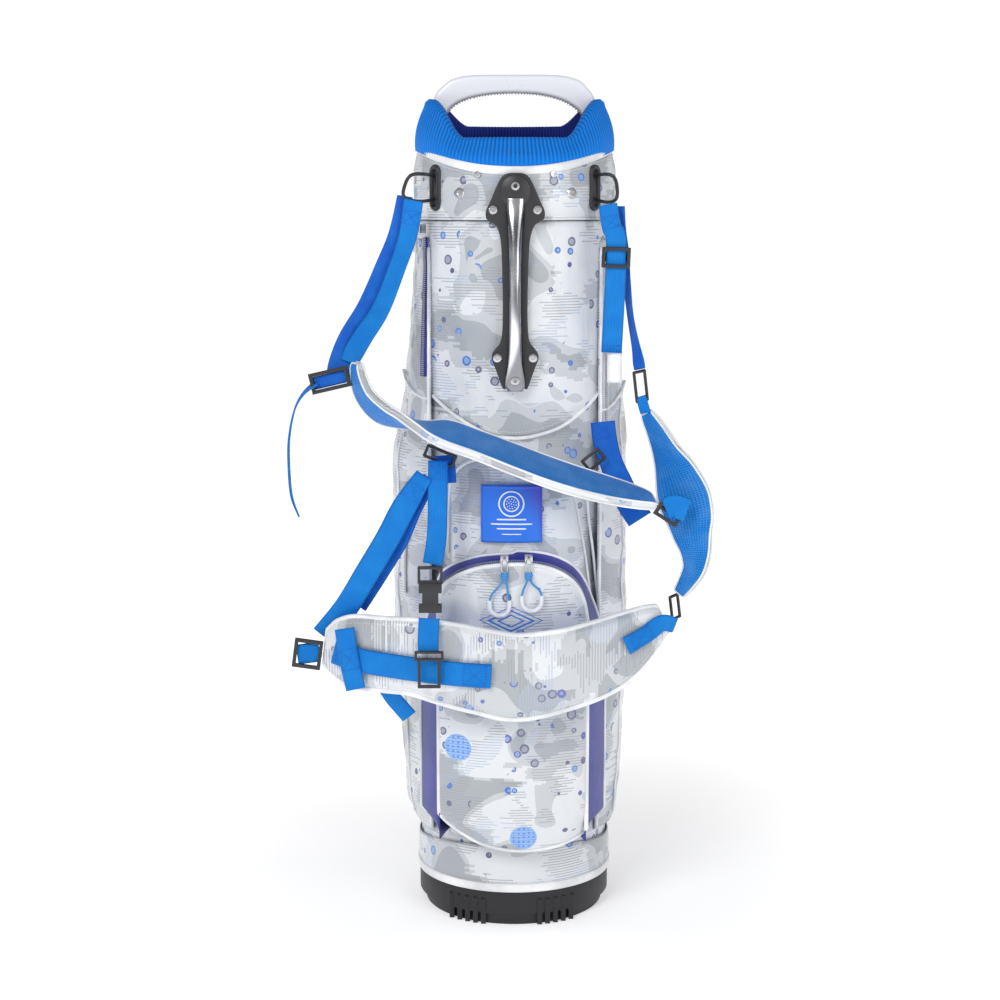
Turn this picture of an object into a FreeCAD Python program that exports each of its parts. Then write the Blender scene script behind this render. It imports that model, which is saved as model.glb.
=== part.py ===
"""Golf stand bag with a dual carrying strap: one STEP file for each separate piece.

Frame: +Z up, the bag stands on Z = 0 with its axis on the Z axis.  The strap side faces -Y,
the fold-out stand is on the +Y side, and +X is to the right of someone who looks along +Y.
"""
import FreeCAD
import Part
import math
import os

V = FreeCAD.Vector
UP = V(0, 0, 1)
OUT = V(0, -1, 0)

# ---- driving dimensions, mm ------------------------------------------------------------
WALL = 3.0                      # fabric, foam and liner of the bag tube
TUBE_A, TUBE_B = 103.0, 99.0    # half width and half depth of the bag tube
BASE_H = 36.0                   # moulded base
BAND_TOP = 86.0                 # top of the fabric band above the base
SEAM_Z = 744.0                  # seam under the collar
COLLAR_TOP = 800.0              # front edge of the collar
COLLAR_A, COLLAR_B = 105.0, 100.0
CUFF_TOP = 852.0
HANDLE_TOP = 893.0
HANDLE_HALF = 85.0
WEB_T = 1.6                     # webbing thickness
PAD_T = 13.0                    # shoulder pad thickness
LINK_GAP = 0.9                  # clearance between the push rod and the levers

LEG_PIVOT = V(40, 117, 724)     # right leg's hinge; the left one mirrors it
LEG_SPLAY = 25.0                # how far each hinge is turned about Z, degrees
LEG_R = 7.5
LEG_LOW = 96.0                  # lower end of the leg tube
LEVER = 18.0                    # from the leg hinge out to the push rod
LEVER_DROP = 18.0               # from the leg hinge down to the lever
LEVER_R = 3.4
ROD_R = 3.0
ROD_Y = 116.0
PLATE_HINGE = V(0, 84, 7.5)       # foot plate's hinge

ARCH = V(2, 0, 291)             # centre of the ball pocket's arched zip
ARCH_R = 108.0
ARCH_Y = -133.0


# ---- helpers ---------------------------------------------------------------------------
def save(name, shape):
    os.makedirs("parts", exist_ok=True)
    shape.exportStep("parts/" + name + ".step")


def group(shapes):
    return Part.makeCompound(shapes)


def oval(a, b, z, cx=0.0, cy=0.0):
    """Elliptic wire, a along X and b along Y."""
    if a >= b:
        curve = Part.Ellipse(V(cx + a, cy, z), V(cx, cy + b, z), V(cx, cy, z))
    else:
        curve = Part.Ellipse(V(cx, cy + b, z), V(cx - a, cy, z), V(cx, cy, z))
    return Part.Wire([curve.toShape()])


def oval_loft(levels, ruled=False):
    """Solid through ovals given as (z, a, b) or (z, a, b, centre x, centre y)."""
    return Part.makeLoft([oval(l[1], l[2], l[0], *l[3:]) for l in levels], True, ruled)


def oval_ring(z0, z1, a, b, wall):
    face = Part.Face(oval(a, b, z0)).cut(Part.Face(oval(a - wall, b - wall, z0)))
    return face.extrude(V(0, 0, z1 - z0))


def box(x0, x1, y0, y1, z0, z1):
    return Part.makeBox(x1 - x0, y1 - y0, z1 - z0, V(x0, y0, z0))


def outline_prism(points, y0, y1):
    """Closed outline in X and Z, straight between its points, pushed along Y."""
    wire = Part.makePolygon([V(x, y0, z) for x, z in points + points[:1]])
    return Part.Face(wire).extrude(V(0, y1 - y0, 0))


def arc_points(cx, cz, r, start, end, count):
    """Points on an arc in X and Z; angles in degrees from +X towards +Z."""
    step = (end - start) / (count - 1)
    angles = [math.radians(start + i * step) for i in range(count)]
    return [(cx + r * math.cos(t), cz + r * math.sin(t)) for t in angles]


def rod(points, r):
    """Round bar along straight runs, with a ball at each inner corner."""
    bars = []
    for p, q in zip(points, points[1:]):
        bars.append(Part.makeCylinder(r, (q - p).Length, p, q - p))
    for p in points[1:-1]:
        bars.append(Part.makeSphere(r, p))
    shape = bars[0]
    for bar in bars[1:]:
        shape = shape.fuse(bar)
    return shape.removeSplitter()


def turned_frame(tangent, twist):
    """Width direction and normal of a flat strap; twist 0 faces the front."""
    t = V(tangent)
    t.normalize()
    normal = OUT - t * OUT.dot(t)
    if normal.Length < 1e-6:
        normal = V(UP)
    normal.normalize()
    turn = FreeCAD.Rotation(t, twist)
    normal = turn.multVec(normal)
    return t.cross(normal), normal


def strap(stations, thick):
    """Flat strap through (x, y, z, width, twist) stations, as one ruled solid."""
    centres = [V(*s[:3]) for s in stations]
    wires = []
    for i, s in enumerate(stations):
        before = centres[max(i - 1, 0)]
        after = centres[min(i + 1, len(stations) - 1)]
        across, normal = turned_frame(after - before, s[4])
        w = across * (s[3] / 2.0)
        n = normal * (thick / 2.0)
        corners = [centres[i] - w - n, centres[i] + w - n, centres[i] + w + n, centres[i] - w + n]
        wires.append(Part.makePolygon(corners + corners[:1]))
    return Part.makeLoft(wires, True, True)


def flat_frame(w, h, bar, thick):
    """Rectangular ring in X and Z about the origin."""
    outer = box(-w / 2, w / 2, -thick / 2, thick / 2, -h / 2, h / 2)
    inner = box(-w / 2 + bar, w / 2 - bar, -thick, thick, -h / 2 + bar, h / 2 - bar)
    return outer.cut(inner)


def placed(shape, pos, tilt=0.0, yaw=0.0):
    """Tilt in the X-Z plane, then yaw about Z, then move; angles in degrees."""
    shape = shape.copy()
    turn = FreeCAD.Rotation(UP, yaw).multiply(FreeCAD.Rotation(V(0, 1, 0), -tilt))
    shape.Placement = FreeCAD.Placement(pos, turn)
    return shape


def on_front(a, b, x):
    """Y of an oval's front at x."""
    return -b * math.sqrt(max(0.0, 1 - (x / a) ** 2))


# ---- the bag tube, base and inside ------------------------------------------------------
def tube_a(z):
    """Half width of the bag tube, 1 mm more at the collar seam than at the base."""
    return TUBE_A + (z - BASE_H) / (SEAM_Z - BASE_H)


def tube_core(extra=0.0):
    """Solid inside the bag tube's outer face, grown by extra."""
    levels = [(z, tube_a(z) + extra, TUBE_B + extra) for z in (BASE_H - 10, COLLAR_TOP + 20)]
    return oval_loft(levels, True)


def base_tub():
    """Moulded wall with a stepped-in skirt and two groups of grip ribs."""
    rim = oval_ring(12, BASE_H, 104, 100, 4)
    ledge = oval_ring(12, 14, 102, 98.5, 10)
    skirt = oval_ring(0, 14, 97, 97, 6)
    tub = rim.fuse(ledge).fuse(skirt)
    for start in (-67.0, 27.0):
        for i in range(5):
            x = start + 8.5 * i
            y = on_front(104, 100, x)
            tub = tub.fuse(box(x - 2.6, x + 2.6, y - 1.5, y + 3.5, 0, 28))
            tub = tub.fuse(box(x - 2.6, x + 2.6, y - 1.5, y + 9, 0, 13))
    tub = tub.cut(box(-47, 47, 78.5, 130, -1, 12))
    return tub.cut(Part.makeCylinder(2.0, 104, V(-52, PLATE_HINGE.y, PLATE_HINGE.z), V(1, 0, 0)))


def base_floor():
    """Stiff board that lies on the tub's skirt and closes the bag below."""
    return oval_loft([(14, 99.5, 95.5), (17.5, 99.5, 95.5)], True)


def foot_plate():
    plate = box(-45, 45, 81, 123, 1.0, 4.0)
    knuckles = Part.makeCylinder(4.0, 80, V(-40, PLATE_HINGE.y, PLATE_HINGE.z), V(1, 0, 0))
    web = box(-40, 40, PLATE_HINGE.y - 3, PLATE_HINGE.y + 3, 2, 8)
    pad = box(-10, 10, ROD_Y - 6, ROD_Y + 6, 3, 5)
    hole = Part.makeCylinder(2.06, 100, V(-50, PLATE_HINGE.y, PLATE_HINGE.z), V(1, 0, 0))
    return plate.fuse(web).fuse(knuckles).fuse(pad).cut(hole).removeSplitter()


def foot_plate_pin():
    return Part.makeCylinder(2.0, 104, V(-52, PLATE_HINGE.y, PLATE_HINGE.z), V(1, 0, 0))


def body_shell():
    span = box(-150, 150, -150, 150, BASE_H + 0.5, SEAM_Z)
    return tube_core().cut(tube_core(-WALL)).common(span)


def base_band():
    return oval_ring(BASE_H + 0.5, BAND_TOP, TUBE_A + 1.6, TUBE_B + 1.6, 1.4)


def collar_ring():
    return oval_ring(SEAM_Z + 1, 812, 102, 97, 8)


def collar_band():
    return oval_ring(SEAM_Z + 0.5, COLLAR_TOP, COLLAR_A, COLLAR_B, 2.6)


def cuff():
    """Soft ribbed cuff with a saddle-shaped rim, highest at the two handle legs."""
    outer = oval_loft([(COLLAR_TOP + 0.5, COLLAR_A - 0.5, COLLAR_B - 0.5), (CUFF_TOP + 24, 92, 94)], True)
    inner = oval_loft([(COLLAR_TOP - 2, 91, 87), (CUFF_TOP + 26, 86, 88)], True)
    ring = outer.cut(inner)
    low = arc_points(0, 1004, 180, 241, 299, 9)
    above = outline_prism(low + [(110, 1000), (-110, 1000)], -120, 120)
    ring = ring.cut(above)
    moulding = oval_loft([(790, 102.4, 97.4), (812.4, 102.4, 97.4)], True)
    return ring.cut(moulding)


def divider_frame():
    across = box(-97, 97, -4, 4, 800, 812)
    front_back = box(-4, 4, -93, 93, 800, 812)
    inside = oval_loft([(799, 94, 89), (813, 94, 89)], True)
    return across.fuse(front_back).common(inside).removeSplitter()


def divider_panels():
    """Full-length fabric dividers that hang from the cross."""
    across = box(-93, 93, -0.8, 0.8, 18, 799.5)
    front_back = box(-0.8, 0.8, -88, 88, 18, 799.5)
    return across.fuse(front_back).removeSplitter()


def grab_handle():
    """Moulded arch over the mouth, its legs let into the collar ring."""
    half, top = HANDLE_HALF, HANDLE_TOP
    outer = [(-half, 812), (-half, 872), (-80, 882), (-64, 890), (-40, top), (40, top), (66, 888),
             (81, 880), (half, 869), (half, 812)]
    inner = [(-76, 811), (-76, 846), (-69, 860), (-55, 869), (-30, 874), (32, 874), (56, 868),
             (69, 859), (76, 846), (76, 811)]
    arch = outline_prism(outer, -13, 13).cut(outline_prism(inner, -14, 14))
    for i in range(17):
        x = -48 + 6.0 * i
        tooth = box(x - 1.6, x + 1.6, -9, 9, 871.5, 876)
        arch = arch.fuse(tooth)
    return arch.removeSplitter()


def grab_handle_screws():
    heads = []
    for side in (-1, 1):
        for y in (-7, 7):
            heads.append(Part.makeCylinder(2.5, 2, V(side * 85, y, 826), V(side, 0, 0)))
    return group(heads)


def spine_stays():
    """Three flat stiffening stays along the inside of the tube."""
    stays = []
    for angle in (62, 205, 335):
        t = math.radians(angle)
        x, y = (TUBE_A - WALL - 3) * math.cos(t), (TUBE_B - WALL - 3) * math.sin(t)
        bar = box(-7, 7, -1.5, 1.5, 20, 740)
        stays.append(placed(bar, V(x, y, 0), 0, angle - 90))
    return group(stays)


# ---- fabric panels and pockets ----------------------------------------------------------
def bib_panel():
    """Upper front panel that ends in a wide U."""
    curve = [(-87, 743), (-87, 564), (-63, 546), (-30, 528), (-8, 524), (16, 525), (47, 534),
             (71, 550), (88, 566), (88, 743)]
    return outline_prism(curve, -140, -20).common(tube_core(3.0)).cut(tube_core(0.05))


MID_POCKET = [(-70, 92), (-67, 477), (-61, 489), (-52, 496), (-39, 502), (10, 500), (45, 488),
              (62, 466), (70, 420), (80, 350), (82, 92)]


def mid_bulge():
    return oval_loft([(80, 106, 106), (250, 108, 116), (420, 108, 116), (520, 106, 104)])


def mid_pocket():
    return outline_prism(MID_POCKET, -160, -20).common(mid_bulge()).cut(tube_core(0.05))


def ball_front(x):
    """Y of the ball pocket's front panel at x: a shallow crown."""
    return -137.0 + 22.0 * (x / 78.0) ** 2


def ball_pocket():
    """Deep lower pocket: crowned front, splayed gussets, arched top."""
    xs = [-78, -52, -26, 0, 26, 52, 75]
    front = [V(x, ball_front(x), 0) for x in xs]
    crown = Part.BSplineCurve()
    crown.interpolate(front)
    back_left, back_right = V(-99, -60, 0), V(96, -60, 0)
    edges = [crown.toShape(), Part.makeLine(front[-1], back_right),
             Part.makeLine(back_right, back_left), Part.makeLine(back_left, front[0])]
    prism = Part.Face(Part.Wire(edges)).extrude(V(0, 0, 340))
    prism.translate(V(0, 0, 80))
    top = arc_points(ARCH.x, ARCH.z, ARCH_R, 57, 123, 9)
    side = [(-88, 365), (-99, 330), (-99, 105), (-80, 98), (-55, 96), (0, 91), (55, 96), (80, 98), (96, 105),
            (96, 330), (85, 365)]
    shape = outline_prism(top + side, -160, -20).common(prism)
    return shape.cut(tube_core(0.05)).cut(mid_pocket()).cut(mid_bulge_gap())


def mid_bulge_gap():
    """Thin space kept between the ball pocket and the pocket behind it."""
    return outline_prism(MID_POCKET, -160, -20).common(
        oval_loft([(80, 106.2, 106.2), (250, 108.2, 116.2), (420, 108.2, 116.2), (520, 106.2, 104.2)]))


def side_pocket(side):
    """Tall apparel pocket on one side; the left one is fuller."""
    full = {-1: [(92, 104), (118, 117), (250, 124), (373, 131), (490, 131), (560, 118), (640, 110), (720, 106)],
            1: [(92, 106), (118, 114), (250, 119), (373, 122), (490, 120), (560, 115), (640, 111), (720, 106)]}[side]
    shift = 50.0
    levels = [(z, reach - shift, 76 + 0.06 * (reach - 104), side * shift) for z, reach in full]
    shape = oval_loft(levels)
    if side < 0:
        keep = box(-140, -89, -110, 90, 90, 722)
    else:
        keep = box(89, 140, -110, 90, 90, 722)
    shape = shape.common(keep).cut(tube_core(0.05))
    return shape.cut(outline_prism([(-99.4, 90), (-99.4, 366), (96.4, 366), (96.4, 90)], -160, -59.5))


def label_patch():
    """Square rubber badge on the middle pocket."""
    return outline_prism([(-35, 418), (28, 418), (28, 477), (-35, 477)], -160, -20).common(
        oval_loft([(400, 109.6, 118.2), (500, 109.6, 118.2)], True)).cut(
        oval_loft([(399, 108.1, 116.6), (501, 108.1, 116.6)], True))


# ---- carry handle on the collar -----------------------------------------------------------
HANDLE_Y = -112.0


def handle_outline():
    """Arrow-like head, two ears, slim waist, two lower ears and a forked tail."""
    right = [(6, 791), (12, 788), (19, 775), (27, 760), (29.5, 752), (28, 744), (21, 743), (15, 732),
             (13, 715), (12.8, 640), (16, 622), (24, 612), (24, 604), (19, 600), (14, 590), (11, 575)]
    left = [(-x, z) for x, z in reversed(right)]
    return right + left


def handle_frame():
    plate = outline_prism(handle_outline(), HANDLE_Y, HANDLE_Y + 6)
    slot = outline_prism([(6.5, 752), (6.5, 592), (-6.5, 592), (-6.5, 752)], HANDLE_Y - 1, HANDLE_Y + 7)
    feet = box(-14, 14, HANDLE_Y + 5, -100.6, 757, 787)
    lower = box(-14, 14, HANDLE_Y + 5, -102.2, 580, 600)
    return plate.cut(slot).fuse(feet).fuse(lower).removeSplitter()


def handle_bar():
    """Arched polished bar that the hand holds, standing off the frame."""
    profile = [(HANDLE_Y - 0.3, 762), (HANDLE_Y - 4, 762), (HANDLE_Y - 12, 735), (HANDLE_Y - 17, 690),
               (HANDLE_Y - 17, 650), (HANDLE_Y - 12, 610), (HANDLE_Y - 4, 577), (HANDLE_Y - 0.3, 577),
               (HANDLE_Y - 0.3, 592), (HANDLE_Y - 8, 613), (HANDLE_Y - 13, 650), (HANDLE_Y - 13, 690),
               (HANDLE_Y - 8, 733), (HANDLE_Y - 0.3, 754)]
    wire = Part.makePolygon([V(-12, y, z) for y, z in profile + profile[:1]])
    side = Part.Face(wire).extrude(V(24, 0, 0))
    front = [(9, 766), (9, 745), (5, 705), (5, 640), (6, 605), (10.5, 583), (9, 572)]
    front = front + [(-x, z) for x, z in reversed(front)]
    return side.common(outline_prism(front, HANDLE_Y - 30, HANDLE_Y + 10))


def handle_screws():
    screws = []
    for x, z in [(0, 778), (-22, 754), (22, 754), (-17.5, 607), (17.5, 607)]:
        screws.append(Part.makeCylinder(4.6, 2.2, V(x, HANDLE_Y - 0.05, z), OUT))
    screws.append(Part.makeCylinder(4.6, 2.0, V(0, HANDLE_Y - 7.6, 585), OUT))
    return group(screws)


def collar_studs():
    studs = []
    for x, z, r in [(-56, 771, 5.6), (57, 771, 5.6), (-37, 790, 3.6), (38, 790, 3.6)]:
        y = on_front(COLLAR_A, COLLAR_B, x)
        out = V(x / COLLAR_A ** 2, y / COLLAR_B ** 2, 0)
        out.normalize()
        studs.append(Part.makeCylinder(r, 3.0, V(x, y, z) + out * 0.05, out))
    return group(studs)


def grommet_place(side):
    """Centre and outward direction of the slotted grommet on one side of the collar."""
    x = side * 81.0
    y = on_front(COLLAR_A, COLLAR_B, x)
    out = V(x / COLLAR_A ** 2, y / COLLAR_B ** 2, 0)
    out.normalize()
    return V(x, y, 776), out


def strap_grommets():
    rings = []
    for side in (-1, 1):
        centre, out = grommet_place(side)
        outer = Part.makeCylinder(8, 4, V(0, 0, 15), OUT).fuse(Part.makeCylinder(8, 4, V(0, 0, -15), OUT))
        outer = outer.fuse(box(-8, 8, -4, 0, -15, 15))
        inner = box(-3.4, 3.4, -6, 1, -15, 15)
        yaw = math.degrees(math.atan2(out.x, -out.y))
        rings.append(placed(outer.cut(inner), centre + out * 0.6, 0, yaw))
    return group(rings)


LOOP_LEFT = [(-92, -90, 790), (-104, -96, 789), (-110, -97, 781), (-112, -96, 768), (-99, -90, 763)]
LOOP_RIGHT = [(90, -88, 790), (98, -93, 788), (102, -94, 780), (102, -94, 766), (94, -86, 762)]


def strap_loops():
    """Wire loops that pass through the grommets and carry the straps."""
    loops = []
    for side, route in ((-1, LOOP_LEFT), (1, LOOP_RIGHT)):
        centre, out = grommet_place(side)
        start = centre + out * 1.5
        top, low = V(start.x, start.y, 788.5), V(start.x, start.y, 764.5)
        loops.append(rod([top] + [V(*p) for p in route] + [low], 1.8))
    return group(loops)


# ---- carrying straps: stations are (x, y, z, width, twist) -------------------------------
LEFT_FRONT_PLY = [(-102, -100, 764, 20, 10), (-108, -94, 730, 21, 25), (-118, -99, 700, 22, 35),
                  (-135, -107, 657, 24, 38), (-153, -114, 629, 25, 35), (-163, -118, 612, 24, 30),
                  (-167, -120, 603, 21, 25)]
LEFT_BACK_PLY = [(-111, -91, 768, 16, -10), (-119, -83, 730, 20, -20), (-132, -86, 697, 22, -25),
                 (-149, -94, 657, 24, -25), (-167, -104, 626, 24, -15), (-176, -118, 600, 25, 0),
                 (-177, -126, 586, 25, 0)]
LEFT_TAIL = [(-198, -128, 584, 25, 80), (-212, -127, 573, 25, 84), (-222, -126, 556, 25, 86),
             (-228, -125, 528, 25, 87), (-229, -125, 502, 25, 87), (-227, -125, 469, 25, 86),
             (-220, -125, 447, 25, 80)]
RIGHT_FRONT_PLY = [(93, -98, 760, 19, 0), (97, -99, 738, 20, 0), (102, -100, 716, 21, 0),
                   (98, -100, 611, 21, 0)]
RIGHT_BACK_PLY = [(104, -86, 758, 20, 50), (107, -84, 735, 20, 60), (111, -84, 712, 20, 65),
                  (114, -84, 680, 20, 70), (118, -88, 645, 20, 75), (124, -95, 612, 18, 60),
                  (127, -99, 594, 12, 20)]
CROSS_WEB = [(-92, -133, 490, 20, 30), (-112, -136, 458, 25, 10), (-129, -140, 426, 25, 5),
             (-150, -142, 391, 25, 0), (-172, -133, 354, 25, 0), (-197, -124, 322, 25, 0)]
CROSS_WEB_UNDER = [(-86, -127, 486, 20, 40), (-104, -128, 455, 22, 30), (-118, -130, 424, 22, 25),
                   (-140, -128, 388, 22, 20), (-162, -122, 354, 22, 10)]
BUCKLE_WEB = [(-78, -127, 504, 20, 0), (-78, -140, 470, 20, 0), (-79, -150, 430, 20, 0),
              (-83, -160, 404, 20, 0)]
BUCKLE_WEB_LOW = [(-86, -176, 352, 21, 0), (-87, -180, 330, 21, 0), (-87, -182, 318, 21, 0)]
ANCHOR_WEB_LEFT = [(-72, -117, 508, 21, 0), (-71, -119, 496, 21, 0), (-70, -121, 480, 21, 0)]
ANCHOR_WEB_RIGHT = [(90, -96, 540, 25, 0), (92, -98, 523, 25, 0), (98, -100, 500, 24, 0),
                    (108, -104, 478, 25, -5), (116, -108, 460, 27, -10), (128, -112, 441, 27, -12)]
HIP_TAIL = [(-150, -145, 306, 17, 0), (-140, -145, 287, 17, 0), (-126, -140, 262, 17, 0),
            (-118, -134, 250, 17, 0), (-109, -130, 238, 17, 0)]
END_TAIL = [(152, -136, 456, 22, 0), (161, -138, 459, 24, 0), (174, -138, 455, 25, 0)]

PAD_DIAGONAL = [(-158, -138, 604, 13, 61), (-156, -137, 588, 24, 63), (-150, -135, 570, 36, 63),
                (-136, -136, 555, 44, 63), (-116, -138, 547, 50, 73), (-93, -141, 540, 54, 90),
                (-70, -144, 534, 56, 105), (-36, -146, 522, 58, 105), (3, -147, 507, 58, 106),
                (32, -147, 496, 58, 106), (62, -146, 486, 58, 105), (93, -143, 477, 54, 104),
                (119, -139, 470, 42, 104), (140, -134, 464, 26, 103)]
PAD_RIGHT = [(134, -102, 550, 12, 30), (144, -104, 533, 22, 40), (154, -107, 512, 32, 40),
             (164, -110, 490, 46, 30), (172, -112, 466, 54, 20), (178, -114, 446, 50, 20),
             (181, -115, 428, 42, 25), (185, -115, 408, 32, 30), (184, -115, 390, 24, 35),
             (176, -114, 374, 17, 30), (169, -113, 364, 12, 20)]
PAD_BACK = [(-193, -134, 313, 36, 0), (-183, -139, 312, 58, 0), (-164, -147, 311, 73, 0),
            (-130, -157, 310, 75, 0), (-99, -164, 309, 77, 0), (-62, -169, 302, 83, 0),
            (-29, -171, 295, 85, 0), (4, -171, 290, 87, 0), (52, -169, 298, 80, 0),
            (88, -162, 309, 74, 0), (114, -153, 322, 62, 0), (136, -142, 335, 44, 0),
            (150, -134, 342, 30, 0)]
BACK_PAD_BAND = [(-184, -150.6, 312, 25, 0), (-155, -161.8, 305, 25, 0), (-128, -168.8, 302, 25, 0),
                 (-98, -175.3, 299, 25, 0), (-60, -180.8, 296, 25, 0), (-24, -183.3, 294, 25, 0)]
BACK_PAD_PATCH = [(-172, -160.5, 338, 20, 0), (-167, -164.5, 305, 20, 0), (-161, -164.5, 276, 20, 0)]
BACK_PAD_TAB = [(112, -165.7, 321, 19, 0), (131, -156.7, 330, 18, 0), (149, -146.7, 340, 18, 0),
                (163, -138, 336, 16, 0)]


def left_strap():
    return group([strap(LEFT_FRONT_PLY, WEB_T), strap(LEFT_BACK_PLY, WEB_T), strap(LEFT_TAIL, WEB_T)])


def right_strap():
    return group([strap(RIGHT_FRONT_PLY, WEB_T), strap(RIGHT_BACK_PLY, WEB_T)])


def tri_glide(w, h):
    """Three-bar slide: outer frame in front of the webbing, middle bar behind it."""
    ring = flat_frame(w, h, 3.6, 4.0)
    ring.translate(V(0, -3.0, 0))
    middle = box(-w / 2, w / 2, 1.0, 3.6, -2.2, 2.2)
    cheeks = box(-w / 2, -w / 2 + 3.4, -3, 3.6, -2.2, 2.2).fuse(box(w / 2 - 3.4, w / 2, -3, 3.6, -2.2, 2.2))
    return ring.fuse(middle).fuse(cheeks).removeSplitter()


RIGHT_ADJUSTER = V(101.66, -100, 707)


def right_adjuster():
    """Slide on the right strap's straight stretch; it moves along the webbing."""
    run = V(*RIGHT_FRONT_PLY[2][:3]) - V(*RIGHT_FRONT_PLY[3][:3])
    return placed(tri_glide(29, 21), RIGHT_ADJUSTER, -math.degrees(math.atan2(run.x, run.z)))


def wire_ring(w, h, r):
    """Rectangular wire ring in X and Z about the origin."""
    c = [V(-w / 2, 0, -h / 2), V(w / 2, 0, -h / 2), V(w / 2, 0, h / 2), V(-w / 2, 0, h / 2)]
    shape = rod([c[0], c[1], c[2], c[3], c[0]], r)
    return shape.fuse(Part.makeSphere(r, c[0])).removeSplitter()


def strap_rings():
    return group([placed(wire_ring(13, 30, 1.6), V(128, -101, 577), 8, 30),
                  placed(wire_ring(11, 24, 1.6), V(165, -113, 350), 10, 40),
                  placed(wire_ring(30, 11, 1.6), V(-76, -122, 508), -22, 0),
                  placed(wire_ring(20, 12, 1.6), V(80, -112, 503), 40, 0)])


def buckle_socket():
    """Female half of the side-release buckle, open at its lower end."""
    ladder = flat_frame(25, 17, 2.6, 5)
    ladder.translate(V(0, 0, 24))
    body = Part.makeBox(23, 9, 30, V(-11.5, -4.5, -14))
    mouth = box(-9, 9, -2.6, 2.6, -15, 12)
    side = box(-13, -8, -5, 5, -6, 6).fuse(box(8, 13, -5, 5, -6, 6))
    shape = ladder.fuse(body.cut(mouth)).cut(side)
    return placed(shape.removeSplitter(), V(-85, -170, 371))


def buckle_tongue():
    """Male half: webbing bar, two sprung prongs and a centre guide."""
    shoulder = flat_frame(29, 10, 2.6, 4)
    prongs = [box(-11.5, -8.5, -2, 2, -30, -4), box(8.5, 11.5, -2, 2, -30, -4)]
    tip = box(-11.5, 11.5, -2, 2, -33, -30)
    shape = shoulder.fuse(prongs[0]).fuse(prongs[1]).fuse(tip)
    return placed(shape.removeSplitter(), V(-86, -186.5, 316))


# ---- zips, sliders and pulls -----------------------------------------------------------
def zip_slider():
    """Slider body with a lug in front, about the origin."""
    body = box(-4, 4, -3, 3, -4.5, 4.5)
    lug = box(-1.6, 1.6, -10, -2.5, -3, 3)
    hole = Part.makeCylinder(1.6, 12, V(-6, -8.0, 0), V(1, 0, 0))
    return body.fuse(lug).cut(hole).removeSplitter()


BALL_ANGLES = {"left": -6.5, "right": 6.0}
SLIDER_LIFT = 5.2


def arch_place(side):
    """Place of a slider on the arched zip, just above the pocket's top face."""
    t = math.radians(BALL_ANGLES[side])
    r = ARCH_R + SLIDER_LIFT
    return V(ARCH.x + r * math.sin(t), ARCH_Y, ARCH.z + r * math.cos(t))


def pull_tube(centre, half_w=10.0, r=2.0):
    """Moulded U-shaped finger pull, open at the top."""
    left, right = centre + V(-half_w, 0, 0), centre + V(half_w, 0, 0)
    arc = Part.Arc(left, centre + V(0, 0, -half_w), right).toShape()
    rise = V(0, 0, 6)
    path = Part.Wire([Part.makeLine(left + rise, left), arc, Part.makeLine(right, right + rise)])
    ring = Part.Wire([Part.makeCircle(r, left + rise, UP)])
    return path.makePipeShell([ring], True, False)


def ball_pull(side):
    """Wire link through the slider's lug, a knot, two cord legs and the finger pull."""
    top = arch_place(side) + V(0, -8.0, 0)
    link = placed(wire_ring(6.4, 12, 0.9), top + V(0, 0, -6.2))
    knot = top + V(0, -1.5, -15.5)
    lean = {"left": -5.0, "right": 3.0}[side]
    centre = V(top.x + lean, top.y - 1.5, {"left": 357, "right": 362}[side])
    pieces = [link.fuse(Part.makeSphere(3.2, knot)), pull_tube(centre)]
    for s in (-1, 1):
        start, end = knot + V(s * 1.6, 0, -3.4), centre + V(s * 10.0, 0, 6.4)
        pieces.append(Part.makeCylinder(1.2, (end - start).Length, start, end - start))
    return group(pieces)


UPPER_ZIP_TOP = V(-96.5, -54.5, 735)
LOWER_ZIP = V(-116, -56, 415)


def side_slider(pos, yaw=-45):
    """Slider on a side pocket's zip, with its own short pull tab hanging from it."""
    tab = box(-2.2, 2.2, -9.4, -7.2, -24, -3.2).fuse(Part.makeCylinder(1.0, 6, V(-3, -8.0, 0), V(1, 0, 0)))
    bail = box(-3.0, -2.0, -9.0, -7.0, -5, 0.8).fuse(box(2.0, 3.0, -9.0, -7.0, -5, 0.8))
    shape = zip_slider().fuse(tab).fuse(bail)
    return placed(shape.removeSplitter(), pos, 0, yaw)


# ---- stand ---------------------------------------------------------------------------
def leg_frame(side):
    """Placement of one leg's hinge: its own X axis is the hinge axis."""
    pos = V(side * LEG_PIVOT.x, LEG_PIVOT.y, LEG_PIVOT.z)
    return FreeCAD.Placement(pos, FreeCAD.Rotation(UP, -side * LEG_SPLAY))


def stand_bracket():
    plate = box(-62, 62, 101, 104.5, 704, 744)
    shape = plate
    for side in (-1, 1):
        for s in (-1, 1):
            ear = box(s * 11.0 - 2, s * 11.0 + 2, -17, 8, -12, 12)
            ear.Placement = leg_frame(side)
            shape = shape.fuse(ear)
    core = oval_loft([(700, TUBE_A + 1.5, TUBE_B + 0.5), (750, TUBE_A + 1.5, TUBE_B + 0.5)], True)
    for side in (-1, 1):
        hole = Part.makeCylinder(3.05, 60, V(-30, 0, 0), V(1, 0, 0))
        hole.Placement = leg_frame(side)
        shape = shape.cut(hole)
    return shape.cut(core).removeSplitter()


def stand_pins():
    pins = []
    for side in (-1, 1):
        pin = Part.makeCylinder(3.0, 29, V(-14.5, 0, 0), V(1, 0, 0))
        pin.Placement = leg_frame(side)
        pins.append(pin)
    return group(pins)


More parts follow.
